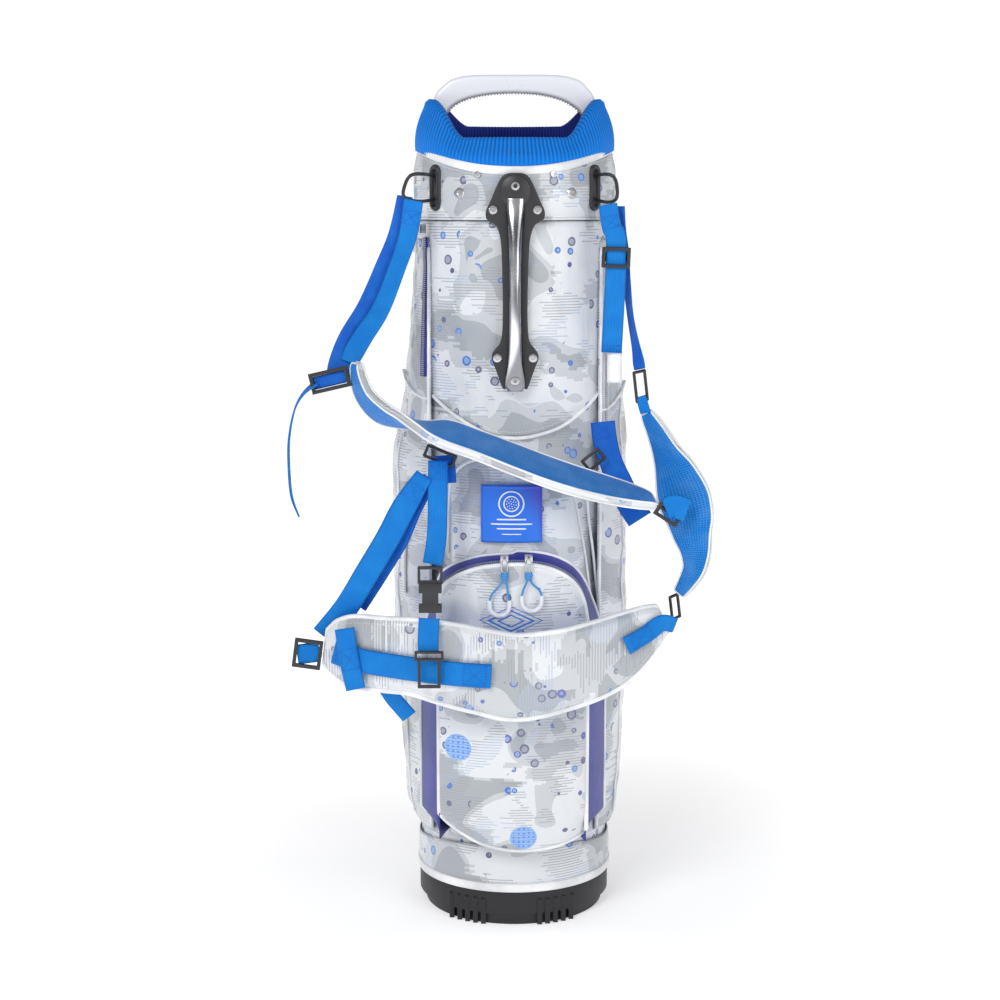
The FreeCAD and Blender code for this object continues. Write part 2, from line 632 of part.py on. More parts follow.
def stand_leg(side):
    """Leg tube with its hinge head and the short lever that the push rod lifts."""
    head = Part.makeCylinder(8.4, 17, V(-8.5, 0, 0), V(1, 0, 0))
    tube = Part.makeCylinder(LEG_R, LEG_PIVOT.z - LEG_LOW, V(0, 0, 0), V(0, 0, -1))
    bore = Part.makeCylinder(LEG_R - 1.4, LEG_PIVOT.z - LEG_LOW, V(0, 0, -14), V(0, 0, -1))
    shape = tube.cut(bore).fuse(head)
    hole = Part.makeCylinder(3.06, 60, V(-30, 0, 0), V(1, 0, 0))
    shape = shape.cut(hole)
    shape.Placement = leg_frame(side)
    x, y, z = side * LEG_PIVOT.x, LEG_PIVOT.y, LEG_PIVOT.z
    tip = V(x - side * 8, y + LEVER, z - LEVER_DROP)
    lever = rod([V(x, y + 4, z - LEVER_DROP), tip], LEVER_R).fuse(Part.makeSphere(LEVER_R, tip))
    core = Part.makeCylinder(LEG_R - 0.2, 40, V(x, y, z - 40), UP)
    return shape.fuse(lever.cut(core)).removeSplitter()


def leg_foot(side):
    """Rubber foot pushed on to the leg, with a slanted sole."""
    x, y = side * LEG_PIVOT.x, LEG_PIVOT.y
    shoe = Part.makeCone(9.5, 12.5, 48, V(x, y, LEG_LOW + 22), V(0, 0, -1))
    socket = Part.makeCylinder(LEG_R + 0.02, 30, V(x, y, LEG_LOW), UP)
    wedge = box(-20, 20, -20, 20, -20, 0)
    wedge = placed(wedge, V(x, y, LEG_LOW - 22))
    wedge.rotate(V(x, y, LEG_LOW - 22), V(1, 0, 0), -24)
    return shoe.cut(socket).cut(wedge)


def push_rod():
    """Bent rod from the foot plate up to the two levers."""
    top = LEG_PIVOT.z - LEVER_DROP - LEVER_R - ROD_R - LINK_GAP
    y_top = LEG_PIVOT.y + LEVER
    stem = rod([V(0, ROD_Y, 5.4), V(0, ROD_Y, 640), V(0, y_top, 672), V(0, y_top, top)], ROD_R)
    yoke = rod([V(-36, y_top, top), V(36, y_top, top)], ROD_R)
    return stem.fuse(yoke).removeSplitter()


def rod_guides():
    """Two clips that hold the push rod to the back of the bag."""
    clips = []
    for z in (150, 560):
        clip = box(-9, 9, TUBE_B + 0.3, ROD_Y + 7, z, z + 22)
        clip = clip.cut(Part.makeCylinder(ROD_R + 0.4, 40, V(0, ROD_Y, z - 5), UP))
        clips.append(clip.cut(tube_core(0.25)))
    return group(clips)


def main():
    save("base_tub", base_tub())
    save("base_floor", base_floor())
    save("foot_plate", foot_plate())
    save("foot_plate_pin", foot_plate_pin())
    save("body_shell", body_shell())
    save("base_band", base_band())
    save("collar_ring", collar_ring())
    save("collar_band", collar_band())
    save("cuff", cuff())
    save("divider_frame", divider_frame())
    save("divider_panels", divider_panels())
    save("grab_handle", grab_handle())
    save("grab_handle_screws", grab_handle_screws())
    save("spine_stays", spine_stays())
    save("bib_panel", bib_panel())
    save("mid_pocket", mid_pocket())
    save("ball_pocket", ball_pocket())
    save("side_pocket_left", side_pocket(-1))
    save("side_pocket_right", side_pocket(1))
    save("label_patch", label_patch())
    save("carry_handle_frame", handle_frame())
    save("carry_handle_bar", handle_bar())
    save("carry_handle_screws", handle_screws())
    save("collar_studs", collar_studs())
    save("strap_grommets", strap_grommets())
    save("strap_loops", strap_loops())
    save("left_strap", left_strap())
    save("right_strap", right_strap())
    save("cross_strap", group([strap(CROSS_WEB, WEB_T), strap(CROSS_WEB_UNDER, WEB_T)]))
    save("buckle_strap", strap(BUCKLE_WEB, WEB_T))
    save("buckle_strap_lower", strap(BUCKLE_WEB_LOW, WEB_T))
    save("anchor_straps", group([strap(ANCHOR_WEB_LEFT, WEB_T), strap(ANCHOR_WEB_RIGHT, WEB_T)]))
    save("strap_tails", group([strap(HIP_TAIL, WEB_T), strap(END_TAIL, WEB_T)]))
    save("shoulder_pad_left", strap(PAD_DIAGONAL, PAD_T - 3))
    save("shoulder_pad_right", strap(PAD_RIGHT, PAD_T - 4))
    save("back_pad", strap(PAD_BACK, PAD_T))
    save("back_pad_webbing", group([strap(BACK_PAD_BAND, WEB_T), strap(BACK_PAD_TAB, WEB_T)]))
    save("back_pad_patch", strap(BACK_PAD_PATCH, WEB_T))
    save("adjuster_left", placed(tri_glide(40, 21), V(-186, -127, 586), 13, 0))
    save("adjuster_right", right_adjuster())
    save("adjuster_end", placed(tri_glide(27, 19), V(156, -131, 452), -33, 0))
    save("adjuster_hip", placed(tri_glide(29, 30), V(-212, -134, 306), -8, 0))
    save("strap_rings", strap_rings())
    save("buckle_socket", buckle_socket())
    save("buckle_tongue", buckle_tongue())
    save("strap_tag", box(94, 109, -97, -96, 580, 612))
    save("ball_slider_left", placed(zip_slider(), arch_place("left")))
    save("ball_slider_right", placed(zip_slider(), arch_place("right")))
    save("ball_pull_left", ball_pull("left"))
    save("ball_pull_right", ball_pull("right"))
    save("side_slider_upper", side_slider(UPPER_ZIP_TOP))
    save("side_slider_lower", side_slider(LOWER_ZIP))
    save("stand_bracket", stand_bracket())
    save("stand_pins", stand_pins())
    save("stand_leg_left", stand_leg(-1))
    save("stand_leg_right", stand_leg(1))
    save("leg_foot_left", leg_foot(-1))
    save("leg_foot_right", leg_foot(1))
    save("push_rod", push_rod())
    save("rod_guides", rod_guides())


main()
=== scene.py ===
"""Golf stand bag: fabric shell, pockets, strap harness, hardware and folding stand."""
import math
from math import cos, exp, pi, radians, sin, sqrt

import bmesh
import bpy
import numpy as np
from mathutils import Matrix, Vector, noise


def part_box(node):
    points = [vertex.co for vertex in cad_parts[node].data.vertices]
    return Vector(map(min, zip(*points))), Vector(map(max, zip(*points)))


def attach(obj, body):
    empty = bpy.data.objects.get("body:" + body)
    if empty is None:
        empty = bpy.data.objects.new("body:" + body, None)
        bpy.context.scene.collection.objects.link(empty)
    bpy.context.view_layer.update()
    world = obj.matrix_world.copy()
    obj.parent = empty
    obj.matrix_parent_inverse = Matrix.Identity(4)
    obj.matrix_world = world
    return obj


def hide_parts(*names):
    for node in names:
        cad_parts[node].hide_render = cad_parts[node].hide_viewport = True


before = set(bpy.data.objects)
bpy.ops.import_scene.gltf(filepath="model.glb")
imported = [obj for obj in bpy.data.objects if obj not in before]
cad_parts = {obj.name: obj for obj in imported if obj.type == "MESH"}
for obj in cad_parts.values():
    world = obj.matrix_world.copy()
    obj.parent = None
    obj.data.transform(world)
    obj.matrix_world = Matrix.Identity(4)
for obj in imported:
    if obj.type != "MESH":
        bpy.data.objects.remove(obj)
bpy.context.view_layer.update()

bl_info = {
    "name": "Golf stand bag",
    "version": (1, 0, 0),
    "blender": (4, 5, 0),
    "location": "3D View > Sidebar > Golf Bag",
    "description": "Builds the visible pieces of a golf stand bag around its packed frame",
    "category": "Add Mesh",
}

MM = 0.001
TURN = 2 * pi
RIDE = "bag"


def span(node):
    """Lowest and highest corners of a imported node, in millimetres."""
    low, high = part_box(node)
    return Vector(low) / MM, Vector(high) / MM


# ---- sizes taken from the frame, millimetres ------------------------------------------
TUBE_LOW, TUBE_HIGH = span("body_shell")
TUBE_A = (TUBE_HIGH.x - TUBE_LOW.x) / 2 - 1.0
TUBE_B = (TUBE_HIGH.y - TUBE_LOW.y) / 2
TUBE_BASE, SEAM_Z = TUBE_LOW.z, TUBE_HIGH.z
BAND_TOP = span("base_band")[1].z
COLLAR_LOW, COLLAR_HIGH = span("collar_band")
COLLAR_A = (COLLAR_HIGH.x - COLLAR_LOW.x) / 2
COLLAR_B = (COLLAR_HIGH.y - COLLAR_LOW.y) / 2
HANDLE_HIGH = span("grab_handle")[1]


# ---- user sizes and colours -----------------------------------------------------------
class GolfBagSizes(bpy.types.PropertyGroup):
    piping: bpy.props.FloatProperty(
        name="Piping radius", description="Radius of the piping on the pockets",
        default=1.9 * MM, unit="LENGTH")
    webbing: bpy.props.FloatProperty(
        name="Webbing thickness", description="Thickness of the strap webbing",
        default=1.7 * MM, unit="LENGTH")
    pad: bpy.props.FloatProperty(
        name="Pad thickness", description="Thickness of the foam pads at their crown",
        default=14 * MM, unit="LENGTH")
    cuff_ribs: bpy.props.IntProperty(
        name="Cuff ribs", description="Knitted ribs round the cuff", default=150, min=20)
    stitch: bpy.props.FloatProperty(
        name="Stitch pitch", description="Distance from one stitch to the next",
        default=3.2 * MM, unit="LENGTH")
    tooth: bpy.props.FloatProperty(
        name="Zip pitch", description="Distance from one zip tooth to the next",
        default=2.0 * MM, unit="LENGTH")


def linear(r, g, b):
    """Linear colour from screen values between 0 and 255."""
    def channel(c):
        c = c / 255
        return c / 12.92 if c <= 0.04045 else ((c + 0.055) / 1.055) ** 2.4
    return (channel(r), channel(g), channel(b))


def colour_prop(name, description, *screen):
    """Colour property with its default given as screen values."""
    return bpy.props.FloatVectorProperty(name=name, description=description, subtype="COLOR",
                                         default=linear(*screen))


class GolfBagColours(bpy.types.PropertyGroup):
    webbing: colour_prop("Webbing", "Strap webbing and pad lining", 0, 125, 215)
    knit: colour_prop("Cuff knit", "Ribbed cuff", 0, 126, 228)
    lining: colour_prop("Lining", "Inside of the mouth", 44, 56, 140)
    gusset: colour_prop("Gusset", "Plain panels beside the pockets", 30, 42, 144)
    camo_light: colour_prop("Print light", "Lightest tone of the print", 226, 229, 232)
    camo_mid: colour_prop("Print middle", "Middle tone of the print", 200, 204, 208)
    camo_dark: colour_prop("Print dark", "Darkest tone of the print", 168, 173, 178)
    piping: colour_prop("Piping", "Piping and binding", 236, 238, 242)
    moulding: colour_prop("Moulding", "Black moulded parts", 38, 38, 42)


def sizes():
    return bpy.context.scene.golfbag_sizes


def colours():
    return bpy.context.scene.golfbag_colours


# ---- curves and surfaces, millimetres -------------------------------------------------
def full_turn(count):
    """Angles of a full turn, in equal steps."""
    return [TURN * k / count for k in range(count)]


def spline(rows, per=6, closed=False):
    """Smooth rows of numbers through the given rows, per steps between each two."""
    pts = np.array(rows, dtype=float)
    n = len(pts)
    out = []
    for i in range(n if closed else n - 1):
        if closed:
            p0, p1, p2, p3 = (pts[(i + k) % n] for k in (-1, 0, 1, 2))
        else:
            p0, p1, p2, p3 = pts[max(i - 1, 0)], pts[i], pts[i + 1], pts[min(i + 2, n - 1)]
        for k in range(per):
            t = k / per
            out.append(0.5 * (2 * p1 + (p2 - p0) * t + (2 * p0 - 5 * p1 + 4 * p2 - p3) * t * t
                              + (3 * p1 - p0 - 3 * p2 + p3) * t ** 3))
    if not closed:
        out.append(pts[-1])
    return np.array(out)


def evenly(points, step, closed=False):
    """Points along a polyline at about the same spacing."""
    pts = np.array(points, dtype=float)
    if closed:
        pts = np.vstack([pts, pts[:1]])
    run = np.concatenate([[0], np.cumsum(np.linalg.norm(np.diff(pts, axis=0), axis=1))])
    count = max(2, int(round(run[-1] / step)))
    at = np.linspace(0, run[-1], count + 1)
    rows = np.stack([np.interp(at, run, pts[:, k]) for k in range(pts.shape[1])], axis=1)
    return rows[:-1] if closed else rows


def front_of(a, b, x):
    """Y of an oval's front at x."""
    return -b * sqrt(max(0.0, 1 - min(1.0, abs(x) / a) ** 2))


def tube_a(z):
    return TUBE_A + (z - TUBE_BASE) / (SEAM_Z - TUBE_BASE)


def tube_front(x, z, proud=0.0):
    return front_of(tube_a(z) + proud, TUBE_B + proud, x)


def wrinkle(p, size, depth, seed=0.0):
    """Soft random lift of cloth at point p: size in millimetres, depth in millimetres."""
    q = Vector((p[0] / size + seed, p[1] / size - seed, p[2] / size + 2 * seed))
    return depth * noise.fractal(q, 0.6, 2.1, 3)


# ---- mesh makers ----------------------------------------------------------------------
def piece(name, verts, faces, uvs=None, smooth=True, recalc=True):
    """Mesh object from millimetre points; uvs are one (u, v) in metres for each corner."""
    mesh = bpy.data.meshes.new(name)
    mesh.from_pydata([tuple(float(c) * MM for c in v) for v in verts], [], faces)
    if uvs is not None:
        layer = mesh.uv_layers.new(name="UVMap")
        layer.data.foreach_set("uv", np.array(uvs, dtype=np.float32).ravel())
    if recalc:
        bm = bmesh.new()
        bm.from_mesh(mesh)
        bmesh.ops.recalc_face_normals(bm, faces=bm.faces)
        bm.to_mesh(mesh)
        bm.free()
    mesh.polygons.foreach_set("use_smooth", [smooth] * len(mesh.polygons))
    mesh.update()
    obj = bpy.data.objects.new(name, mesh)
    bpy.context.collection.objects.link(obj)
    return obj


def grid_faces(rows, cols, wrap_cols=False, wrap_rows=False):
    faces = []
    for r in range(rows if wrap_rows else rows - 1):
        for c in range(cols if wrap_cols else cols - 1):
            r1, c1 = (r + 1) % rows, (c + 1) % cols
            faces.append((r * cols + c, r * cols + c1, r1 * cols + c1, r1 * cols + c))
    return faces


def grid_piece(name, grid, wrap_cols=False, wrap_rows=False, cap=False, recalc=True, smooth=True):
    """Surface through a grid of points; UV follows the cloth in metres."""
    g = np.array(grid, dtype=float)
    rows, cols = g.shape[:2]
    faces = grid_faces(rows, cols, wrap_cols, wrap_rows)
    across = np.linalg.norm(np.diff(g, axis=1, append=g[:, :1]), axis=2).mean(axis=0)
    along = np.linalg.norm(np.diff(g, axis=0, append=g[:1]), axis=2).mean(axis=1)
    us = np.concatenate([[0], np.cumsum(across)]) * MM
    vs = np.concatenate([[0], np.cumsum(along)]) * MM
    uvs = []
    for f in faces:
        r, c = divmod(f[0], cols)
        uvs += [(us[c], vs[r]), (us[c + 1], vs[r]), (us[c + 1], vs[r + 1]), (us[c], vs[r + 1])]
    if cap and wrap_cols:
        first = tuple(range(cols))
        last = tuple((rows - 1) * cols + c for c in range(cols))
        for ring, v in ((first, 0.0), (last, vs[rows - 1])):
            faces.append(ring)
            uvs += [(us[c % cols], v) for c in range(cols)]
    return piece(name, g.reshape(-1, 3), faces, uvs, smooth, recalc)


def thicken(obj, thick, offset=-1.0, inner_slot=0):
    """Gives an open sheet its wall; its faces must point outwards first."""
    mod = obj.modifiers.new("wall", "SOLIDIFY")
    mod.thickness = thick * MM
    mod.offset = offset
    mod.use_even_offset = False
    mod.material_offset = inner_slot
    mod.material_offset_rim = inner_slot
    return mod


def face_out(obj, centre=(0, 0, 0), flat=True):
    """Turns an open sheet's faces away from a vertical line through centre (or a point)."""
    mesh = obj.data
    c = Vector(centre) * MM
    total = 0.0
    for p in mesh.polygons:
        d = p.center - c
        if flat:
            d.z = 0
        total += d.dot(p.normal) * p.area
    if total < 0:
        mesh.flip_normals()
    return obj


def apply_modifiers(obj):
    """Turns an object's modifiers into its plain mesh."""
    graph = bpy.context.evaluated_depsgraph_get()
    mesh = bpy.data.meshes.new_from_object(obj.evaluated_get(graph))
    obj.modifiers.clear()
    old = obj.data
    obj.data = mesh
    if old.users == 0 and isinstance(old, bpy.types.Mesh):
        bpy.data.meshes.remove(old)
    return obj


def rounded(obj, width, segments=3, angle=40):
    mod = obj.modifiers.new("edges", "BEVEL")
    mod.width = width * MM
    mod.segments = segments
    mod.limit_method = "ANGLE"
    mod.angle_limit = radians(angle)
    mod.harden_normals = False
    return mod


def tube(name, points, radius, sides=12, closed=False, flat=1.0):
    """Round cord or wire along a polyline; flat squeezes it across."""
    pts = np.array(points, dtype=float)
    n = len(pts)
    if closed:
        tangents = np.roll(pts, -1, axis=0) - np.roll(pts, 1, axis=0)
    else:
        tangents = np.gradient(pts, axis=0)
    tangents /= np.linalg.norm(tangents, axis=1)[:, None]
    up = np.array([0.0, -1.0, 0.0])
    if abs(tangents[0] @ up) > 0.9:
        up = np.array([1.0, 0.0, 0.0])
    rings = []
    normal = up
    for i in range(n):
        t = tangents[i]
        normal = normal - t * (normal @ t)
        normal /= np.linalg.norm(normal)
        side = np.cross(t, normal)
        ring = []
        for a in full_turn(sides):
            ring.append(pts[i] + radius * (cos(a) * normal * flat + sin(a) * side))
        rings.append(ring)
    return grid_piece(name, rings, wrap_cols=True, wrap_rows=closed, cap=not closed)


def flat_plate(name, outlines, y, depth, edge):
    """Plate standing in X and Z with rounded edges; later outlines are holes."""
    curve = bpy.data.curves.new(name, "CURVE")
    curve.dimensions = "2D"
    curve.fill_mode = "BOTH"
    curve.extrude = (depth / 2 - edge) * MM
    curve.bevel_depth = edge * MM
    curve.bevel_resolution = 3
    curve.offset = -edge * MM
    for outline in outlines:
        line = curve.splines.new("POLY")
        line.points.add(len(outline) - 1)
        for point, (x, z) in zip(line.points, outline):
            point.co = (x * MM, z * MM, 0, 1)
        line.use_cyclic_u = True
    holder = bpy.data.objects.new(name, curve)
    bpy.context.collection.objects.link(holder)
    graph = bpy.context.evaluated_depsgraph_get()
    mesh = bpy.data.meshes.new_from_object(holder.evaluated_get(graph))
    bpy.data.objects.remove(holder)
    bpy.data.curves.remove(curve)
    mesh.transform(Matrix.Translation((0, (y + depth / 2) * MM, 0)) @ Matrix.Rotation(pi / 2, 4, "X"))
    bm = bmesh.new()
    bm.from_mesh(mesh)
    bmesh.ops.remove_doubles(bm, verts=bm.verts, dist=1e-6)
    bmesh.ops.recalc_face_normals(bm, faces=bm.faces)
    bm.to_mesh(mesh)
    bm.free()
    obj = bpy.data.objects.new(name, mesh)
    bpy.context.collection.objects.link(obj)
    shade_by_angle(obj)
    return obj


def shade_by_angle(obj, angle=35):
    """Smooth shading with sharp edges marked where faces meet at more than the angle."""
    mesh = obj.data
    mesh.polygons.foreach_set("use_smooth", [True] * len(mesh.polygons))
    bm = bmesh.new()
    bm.from_mesh(mesh)
    limit = radians(angle)
    for edge in bm.edges:
        if len(edge.link_faces) == 2 and edge.calc_face_angle(0.0) > limit:
            edge.smooth = False
    bm.to_mesh(mesh)
    bm.free()


def refined(node, edge=0.8, name=None):
    """Detailed copy of a hard CAD node: merged, with rounded edges."""
    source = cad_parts[node]
    mesh = source.data.copy()
    mesh.materials.clear()
    bm = bmesh.new()
    bm.from_mesh(mesh)
    bmesh.ops.remove_doubles(bm, verts=bm.verts, dist=2e-6)
    bmesh.ops.dissolve_limit(bm, angle_limit=radians(2), verts=bm.verts, edges=bm.edges)
    bm.to_mesh(mesh)
    bm.free()
    obj = bpy.data.objects.new(name or node + "_looks", mesh)
    bpy.context.collection.objects.link(obj)
    if edge:
        rounded(obj, edge)
        apply_modifiers(obj)
    shade_by_angle(obj)
    return obj


def joined(name, objs):
    """One object from several; material slots are kept."""
    bm = bmesh.new()
    mats = []
    for o in objs:
        part = o.data.copy()
        table = []
        for m in o.data.materials:
            if m not in mats:
                mats.append(m)
            table.append(mats.index(m))
        first = len(bm.faces)
        bm.from_mesh(part)
        bm.faces.ensure_lookup_table()
        for f in bm.faces[first:]:
            f.material_index = table[min(f.material_index, len(table) - 1)] if table else 0
        bpy.data.meshes.remove(part)
    mesh = bpy.data.meshes.new(name)
    bm.to_mesh(mesh)
    bm.free()
    for m in mats:
        mesh.materials.append(m)
    for o in objs:
        bpy.data.objects.remove(o)
    obj = bpy.data.objects.new(name, mesh)
    bpy.context.collection.objects.link(obj)
    return obj


def dress(obj, finish):
    """Gives a piece the finish of this name as its only material."""
    obj.data.materials.clear()
    obj.data.materials.append(mat(finish))


def keep(obj, slot, body=RIDE, replaces=(), finish=None):
    """Gives a finished piece its finish, its body and the nodes that it stands for."""
    if finish is not None:
        dress(obj, finish)
    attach(obj, body)
    if replaces:
        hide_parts(*replaces)
    return obj


# ---- shader helpers -------------------------------------------------------------------
class Graph:
    """Short ways to add nodes to a shader or geometry tree."""

    def __init__(self, tree):
        self.tree = tree

    def put(self, socket, value):
        if isinstance(value, bpy.types.NodeSocket):
            self.tree.links.new(value, socket)
        elif value is not None:
            if hasattr(socket.default_value, "__len__") and len(socket.default_value) == 4:
                value = (*value, 1.0) if len(value) == 3 else value
            socket.default_value = value

    def add(self, kind, inputs=None, **props):
        node = self.tree.nodes.new(kind)
        for name, value in props.items():
            setattr(node, name, value)
        for name, value in (inputs or {}).items():
            self.put(node.inputs[name], value)
        return node

    def math(self, op, a, b=None, c=None, clamp=False):
        node = self.add("ShaderNodeMath", operation=op, use_clamp=clamp)
        for socket, value in zip(node.inputs, (a, b, c)):
            self.put(socket, value)
        return node.outputs[0]

    def mul(self, a, b):
        return self.math("MULTIPLY", a, b)

    def plus(self, a, b):
        return self.math("ADD", a, b)

    def minus(self, a, b):
        return self.math("SUBTRACT", a, b)

    def div(self, a, b):
        return self.math("DIVIDE", a, b)

    def mul_add(self, a, b, c):
        return self.math("MULTIPLY_ADD", a, b, c)

    def under(self, value, limit):
        return self.math("LESS_THAN", value, limit)

    def size(self, value):
        return self.math("ABSOLUTE", value)

    def sine(self, value):
        return self.math("SINE", value)

    def fract(self, value):
        return self.math("FRACT", value)

    def mm(self, vector):
        """A vector in metres, in millimetres."""
        return self.vector("SCALE", vector, scale=1000.0)

    def vector(self, op, a, b=None, scale=None):
        node = self.add("ShaderNodeVectorMath", operation=op)
        self.put(node.inputs[0], a)
        self.put(node.inputs[1], b)
        if scale is not None:
            self.put(node.inputs["Scale"], scale)
        return node.outputs["Value" if op in ("LENGTH", "DISTANCE", "DOT_PRODUCT") else "Vector"]

    def mix(self, factor, a, b, blend="MIX"):
        node = self.add("ShaderNodeMix", data_type="RGBA", blend_type=blend)
        self.put(node.inputs["Factor"], factor)
        self.put(node.inputs["A"], a)
        self.put(node.inputs["B"], b)
        return node.outputs["Result"]

    def split(self, vector):
        return self.add("ShaderNodeSeparateXYZ", {"Vector": vector}).outputs

    def joinxyz(self, x, y, z):
        return self.add("ShaderNodeCombineXYZ", {"X": x, "Y": y, "Z": z}).outputs[0]

    def noise(self, vector, scale, detail=2.0, rough=0.5, distortion=0.0):
        inputs = {"Vector": vector, "Scale": scale, "Detail": detail, "Roughness": rough,
                  "Distortion": distortion}
        return self.add("ShaderNodeTexNoise", inputs).outputs["Fac"]

    def over(self, value, limit):
        return self.math("GREATER_THAN", value, limit)

    def step(self, value, low, high):
        """0 below low, 1 above high, smooth between."""
        node = self.add("ShaderNodeMapRange", {"Value": value, "From Min": low, "From Max": high},
                        interpolation_type="SMOOTHSTEP")
        return node.outputs["Result"]


def shader_group(name, inputs, outputs):
    """New shader node group; inputs and outputs are (name, kind, default)."""
    tree = bpy.data.node_groups.new(name, "ShaderNodeTree")
    kinds = {"f": "NodeSocketFloat", "v": "NodeSocketVector", "c": "NodeSocketColor"}
    for label, kind, default in inputs:
        socket = tree.interface.new_socket(label, in_out="INPUT", socket_type=kinds[kind])
        if default is not None:
            socket.default_value = (*default, 1.0) if kind == "c" else default
    for label, kind in outputs:
        tree.interface.new_socket(label, in_out="OUTPUT", socket_type=kinds[kind])
    g = Graph(tree)
    return g, g.add("NodeGroupInput").outputs, g.add("NodeGroupOutput").inputs


def build_print_group():
    """Broken camouflage print: stepped patches, fine lines with comb edges, clusters of drops."""
    c = colours()
    g, gin, gout = shader_group("Camo Print", [
        ("Vector", "v", None), ("Light", "c", c.camo_light), ("Mid", "c", c.camo_mid),
        ("Dark", "c", c.camo_dark), ("Drops", "f", 1.0), ("Lines", "f", 1.0), ("Shift", "f", 0.0)],
        [("Color", "c"), ("Height", "f"), ("Gloss", "f")])
    mm = g.mm(gin["Vector"])
    mm = g.vector("ADD", mm, g.joinxyz(gin["Shift"], gin["Shift"], gin["Shift"]))
    x, y, z = g.split(mm)
    pitch = 2.9
    row = g.math("FLOOR", g.div(z, pitch))
    jitter = g.add("ShaderNodeTexWhiteNoise", {"W": row}, noise_dimensions="1D").outputs["Value"]
    comb = g.mul(g.minus(jitter, 0.5), 13.0)
    stepped = g.joinxyz(g.plus(x, comb), g.plus(y, comb), g.mul(row, pitch))
    squash = g.joinxyz(1.0, 1.0, 1.15)
    smooth_patch = g.noise(g.vector("MULTIPLY", mm, squash), 1 / 78, 1.2, 0.4, 0.35)
    comb_patch = g.noise(g.vector("MULTIPLY", stepped, squash), 1 / 78, 1.2, 0.4, 0.35)
    use_comb = g.over(g.noise(mm, 1 / 60, 0.0), 0.56)
    patch = g.plus(g.mul(smooth_patch, g.minus(1.0, use_comb)),
                   g.mul(comb_patch, use_comb))
    away = g.vector("ADD", g.vector("MULTIPLY", mm, squash), (310.0, 90.0, 40.0))
    second = g.noise(away, 1 / 60, 1.0, 0.4, 0.3)
    colour = g.mix(g.over(patch, 0.515), gin["Light"], gin["Mid"])
    colour = g.mix(g.over(patch, 0.575), colour, gin["Dark"])
    colour = g.mix(g.over(second, 0.63), colour, gin["Mid"])
    colour = g.mix(g.over(second, 0.69), colour, gin["Dark"])
    # fine printed lines in some areas
    saw = g.fract(g.div(z, pitch))
    bar = g.under(saw, 0.34)
    lined = g.over(g.noise(g.vector("ADD", stepped, (70.0, 0.0, 130.0)), 1 / 40, 1.0), 0.53)
    lined = g.mul(g.mul(bar, lined), gin["Lines"])
    tint = g.noise(g.vector("ADD", mm, (0.0, 500.0, 0.0)), 1 / 60, 0.0)
    line_colour = g.mix(g.over(tint, 0.56), linear(150, 153, 160), linear(166, 182, 214))
    colour = g.mix(g.mul(lined, 0.75), colour, line_colour)
    # clusters of drops, each with a darker rim
    cells = g.add("ShaderNodeTexVoronoi", {"Vector": mm, "Scale": 1 / 16, "Randomness": 0.9},
                  feature="F1", voronoi_dimensions="3D")
    red, green, blue = g.add("ShaderNodeSeparateColor", {"Color": cells.outputs["Color"]}).outputs
    radius = g.mul_add(red, 0.18, 0.17)
    cluster = g.over(g.noise(g.vector("ADD", mm, (900.0, 20.0, 0.0)), 1 / 42, 0.0), 0.50)
    chosen = g.mul(g.mul(cluster, g.over(green, 0.15)), gin["Drops"])
    near = g.div(cells.outputs["Distance"], radius)
    inside = g.mul(g.under(near, 1.0), chosen)
    rim = g.mul(g.over(g.plus(near, g.mul(g.noise(mm, 1 / 7), 0.5)), 0.95), inside)
    drop = g.mix(g.over(blue, 0.42), linear(150, 153, 172), linear(118, 166, 224))
    drop_rim = g.mix(g.over(blue, 0.42), linear(96, 98, 134), linear(66, 118, 204))
    drop_rim = g.mix(g.over(blue, 0.78), drop_rim, linear(92, 86, 168))
    colour = g.mix(g.mul(inside, 0.85), colour, drop)
    colour = g.mix(rim, colour, drop_rim)
    shade = g.step(g.noise(mm, 1 / 120, 1.0), 0.3, 0.7)
    colour = g.mix(g.mul(g.minus(1.0, shade), 0.10), colour, linear(186, 190, 206))
    g.put(gout["Color"], colour)
    g.put(gout["Height"], g.plus(g.mul(lined, 0.6), inside))
    g.put(gout["Gloss"], g.mul_add(patch, -0.12, 0.44))


def build_weave_group():
    """Woven tape: fine cords along its length, crossed by picks; follows the piece's UV in metres. The
    tape is painted darker between its cords and picks as painted shade, with broad painted sheen
    patches.
    """
    g, gin, gout = shader_group("Tape Weave", [
        ("UV", "v", None), ("Color", "c", (0.1, 0.3, 0.8)), ("Cord Pitch", "f", 1.5),
        ("Pick Pitch", "f", 1.1)],
        [("Color", "c"), ("Height", "f"), ("Roughness", "f")])
    mm = g.mm(gin["UV"])
    u, v = g.split(mm)[:2]
    cords = g.size(g.sine(g.mul(g.div(u, gin["Cord Pitch"]), pi)))
    lean = g.math("PINGPONG", u, 3.0)
    picks = g.size(g.sine(g.mul(g.div(g.plus(v, lean), gin["Pick Pitch"]), pi)))
    height = g.plus(g.mul(cords, 0.55), g.mul(picks, 0.45))
    fuzz = g.noise(mm, 0.9, 3.0, 0.6)
    painted_sheen_patches = g.noise(mm, 1 / 28, 2.0)
    # painted shade: darker where the weave is low, between the cords and picks
    dark = g.mix(0.62, gin["Color"], (0.0, 0.02, 0.12))
    colour = g.mix(g.step(height, 0.15, 0.75), dark, gin["Color"])
    # painted sheen: broad lighter, bluer patches on the tape
    colour = g.mix(g.mul(g.step(painted_sheen_patches, 0.35, 0.75), 0.16), colour, (0.02, 0.42, 0.90))
    g.put(gout["Color"], colour)
    g.put(gout["Height"], g.mul_add(fuzz, 0.3, height))
    g.put(gout["Roughness"], g.mul_add(fuzz, 0.15, 0.56))


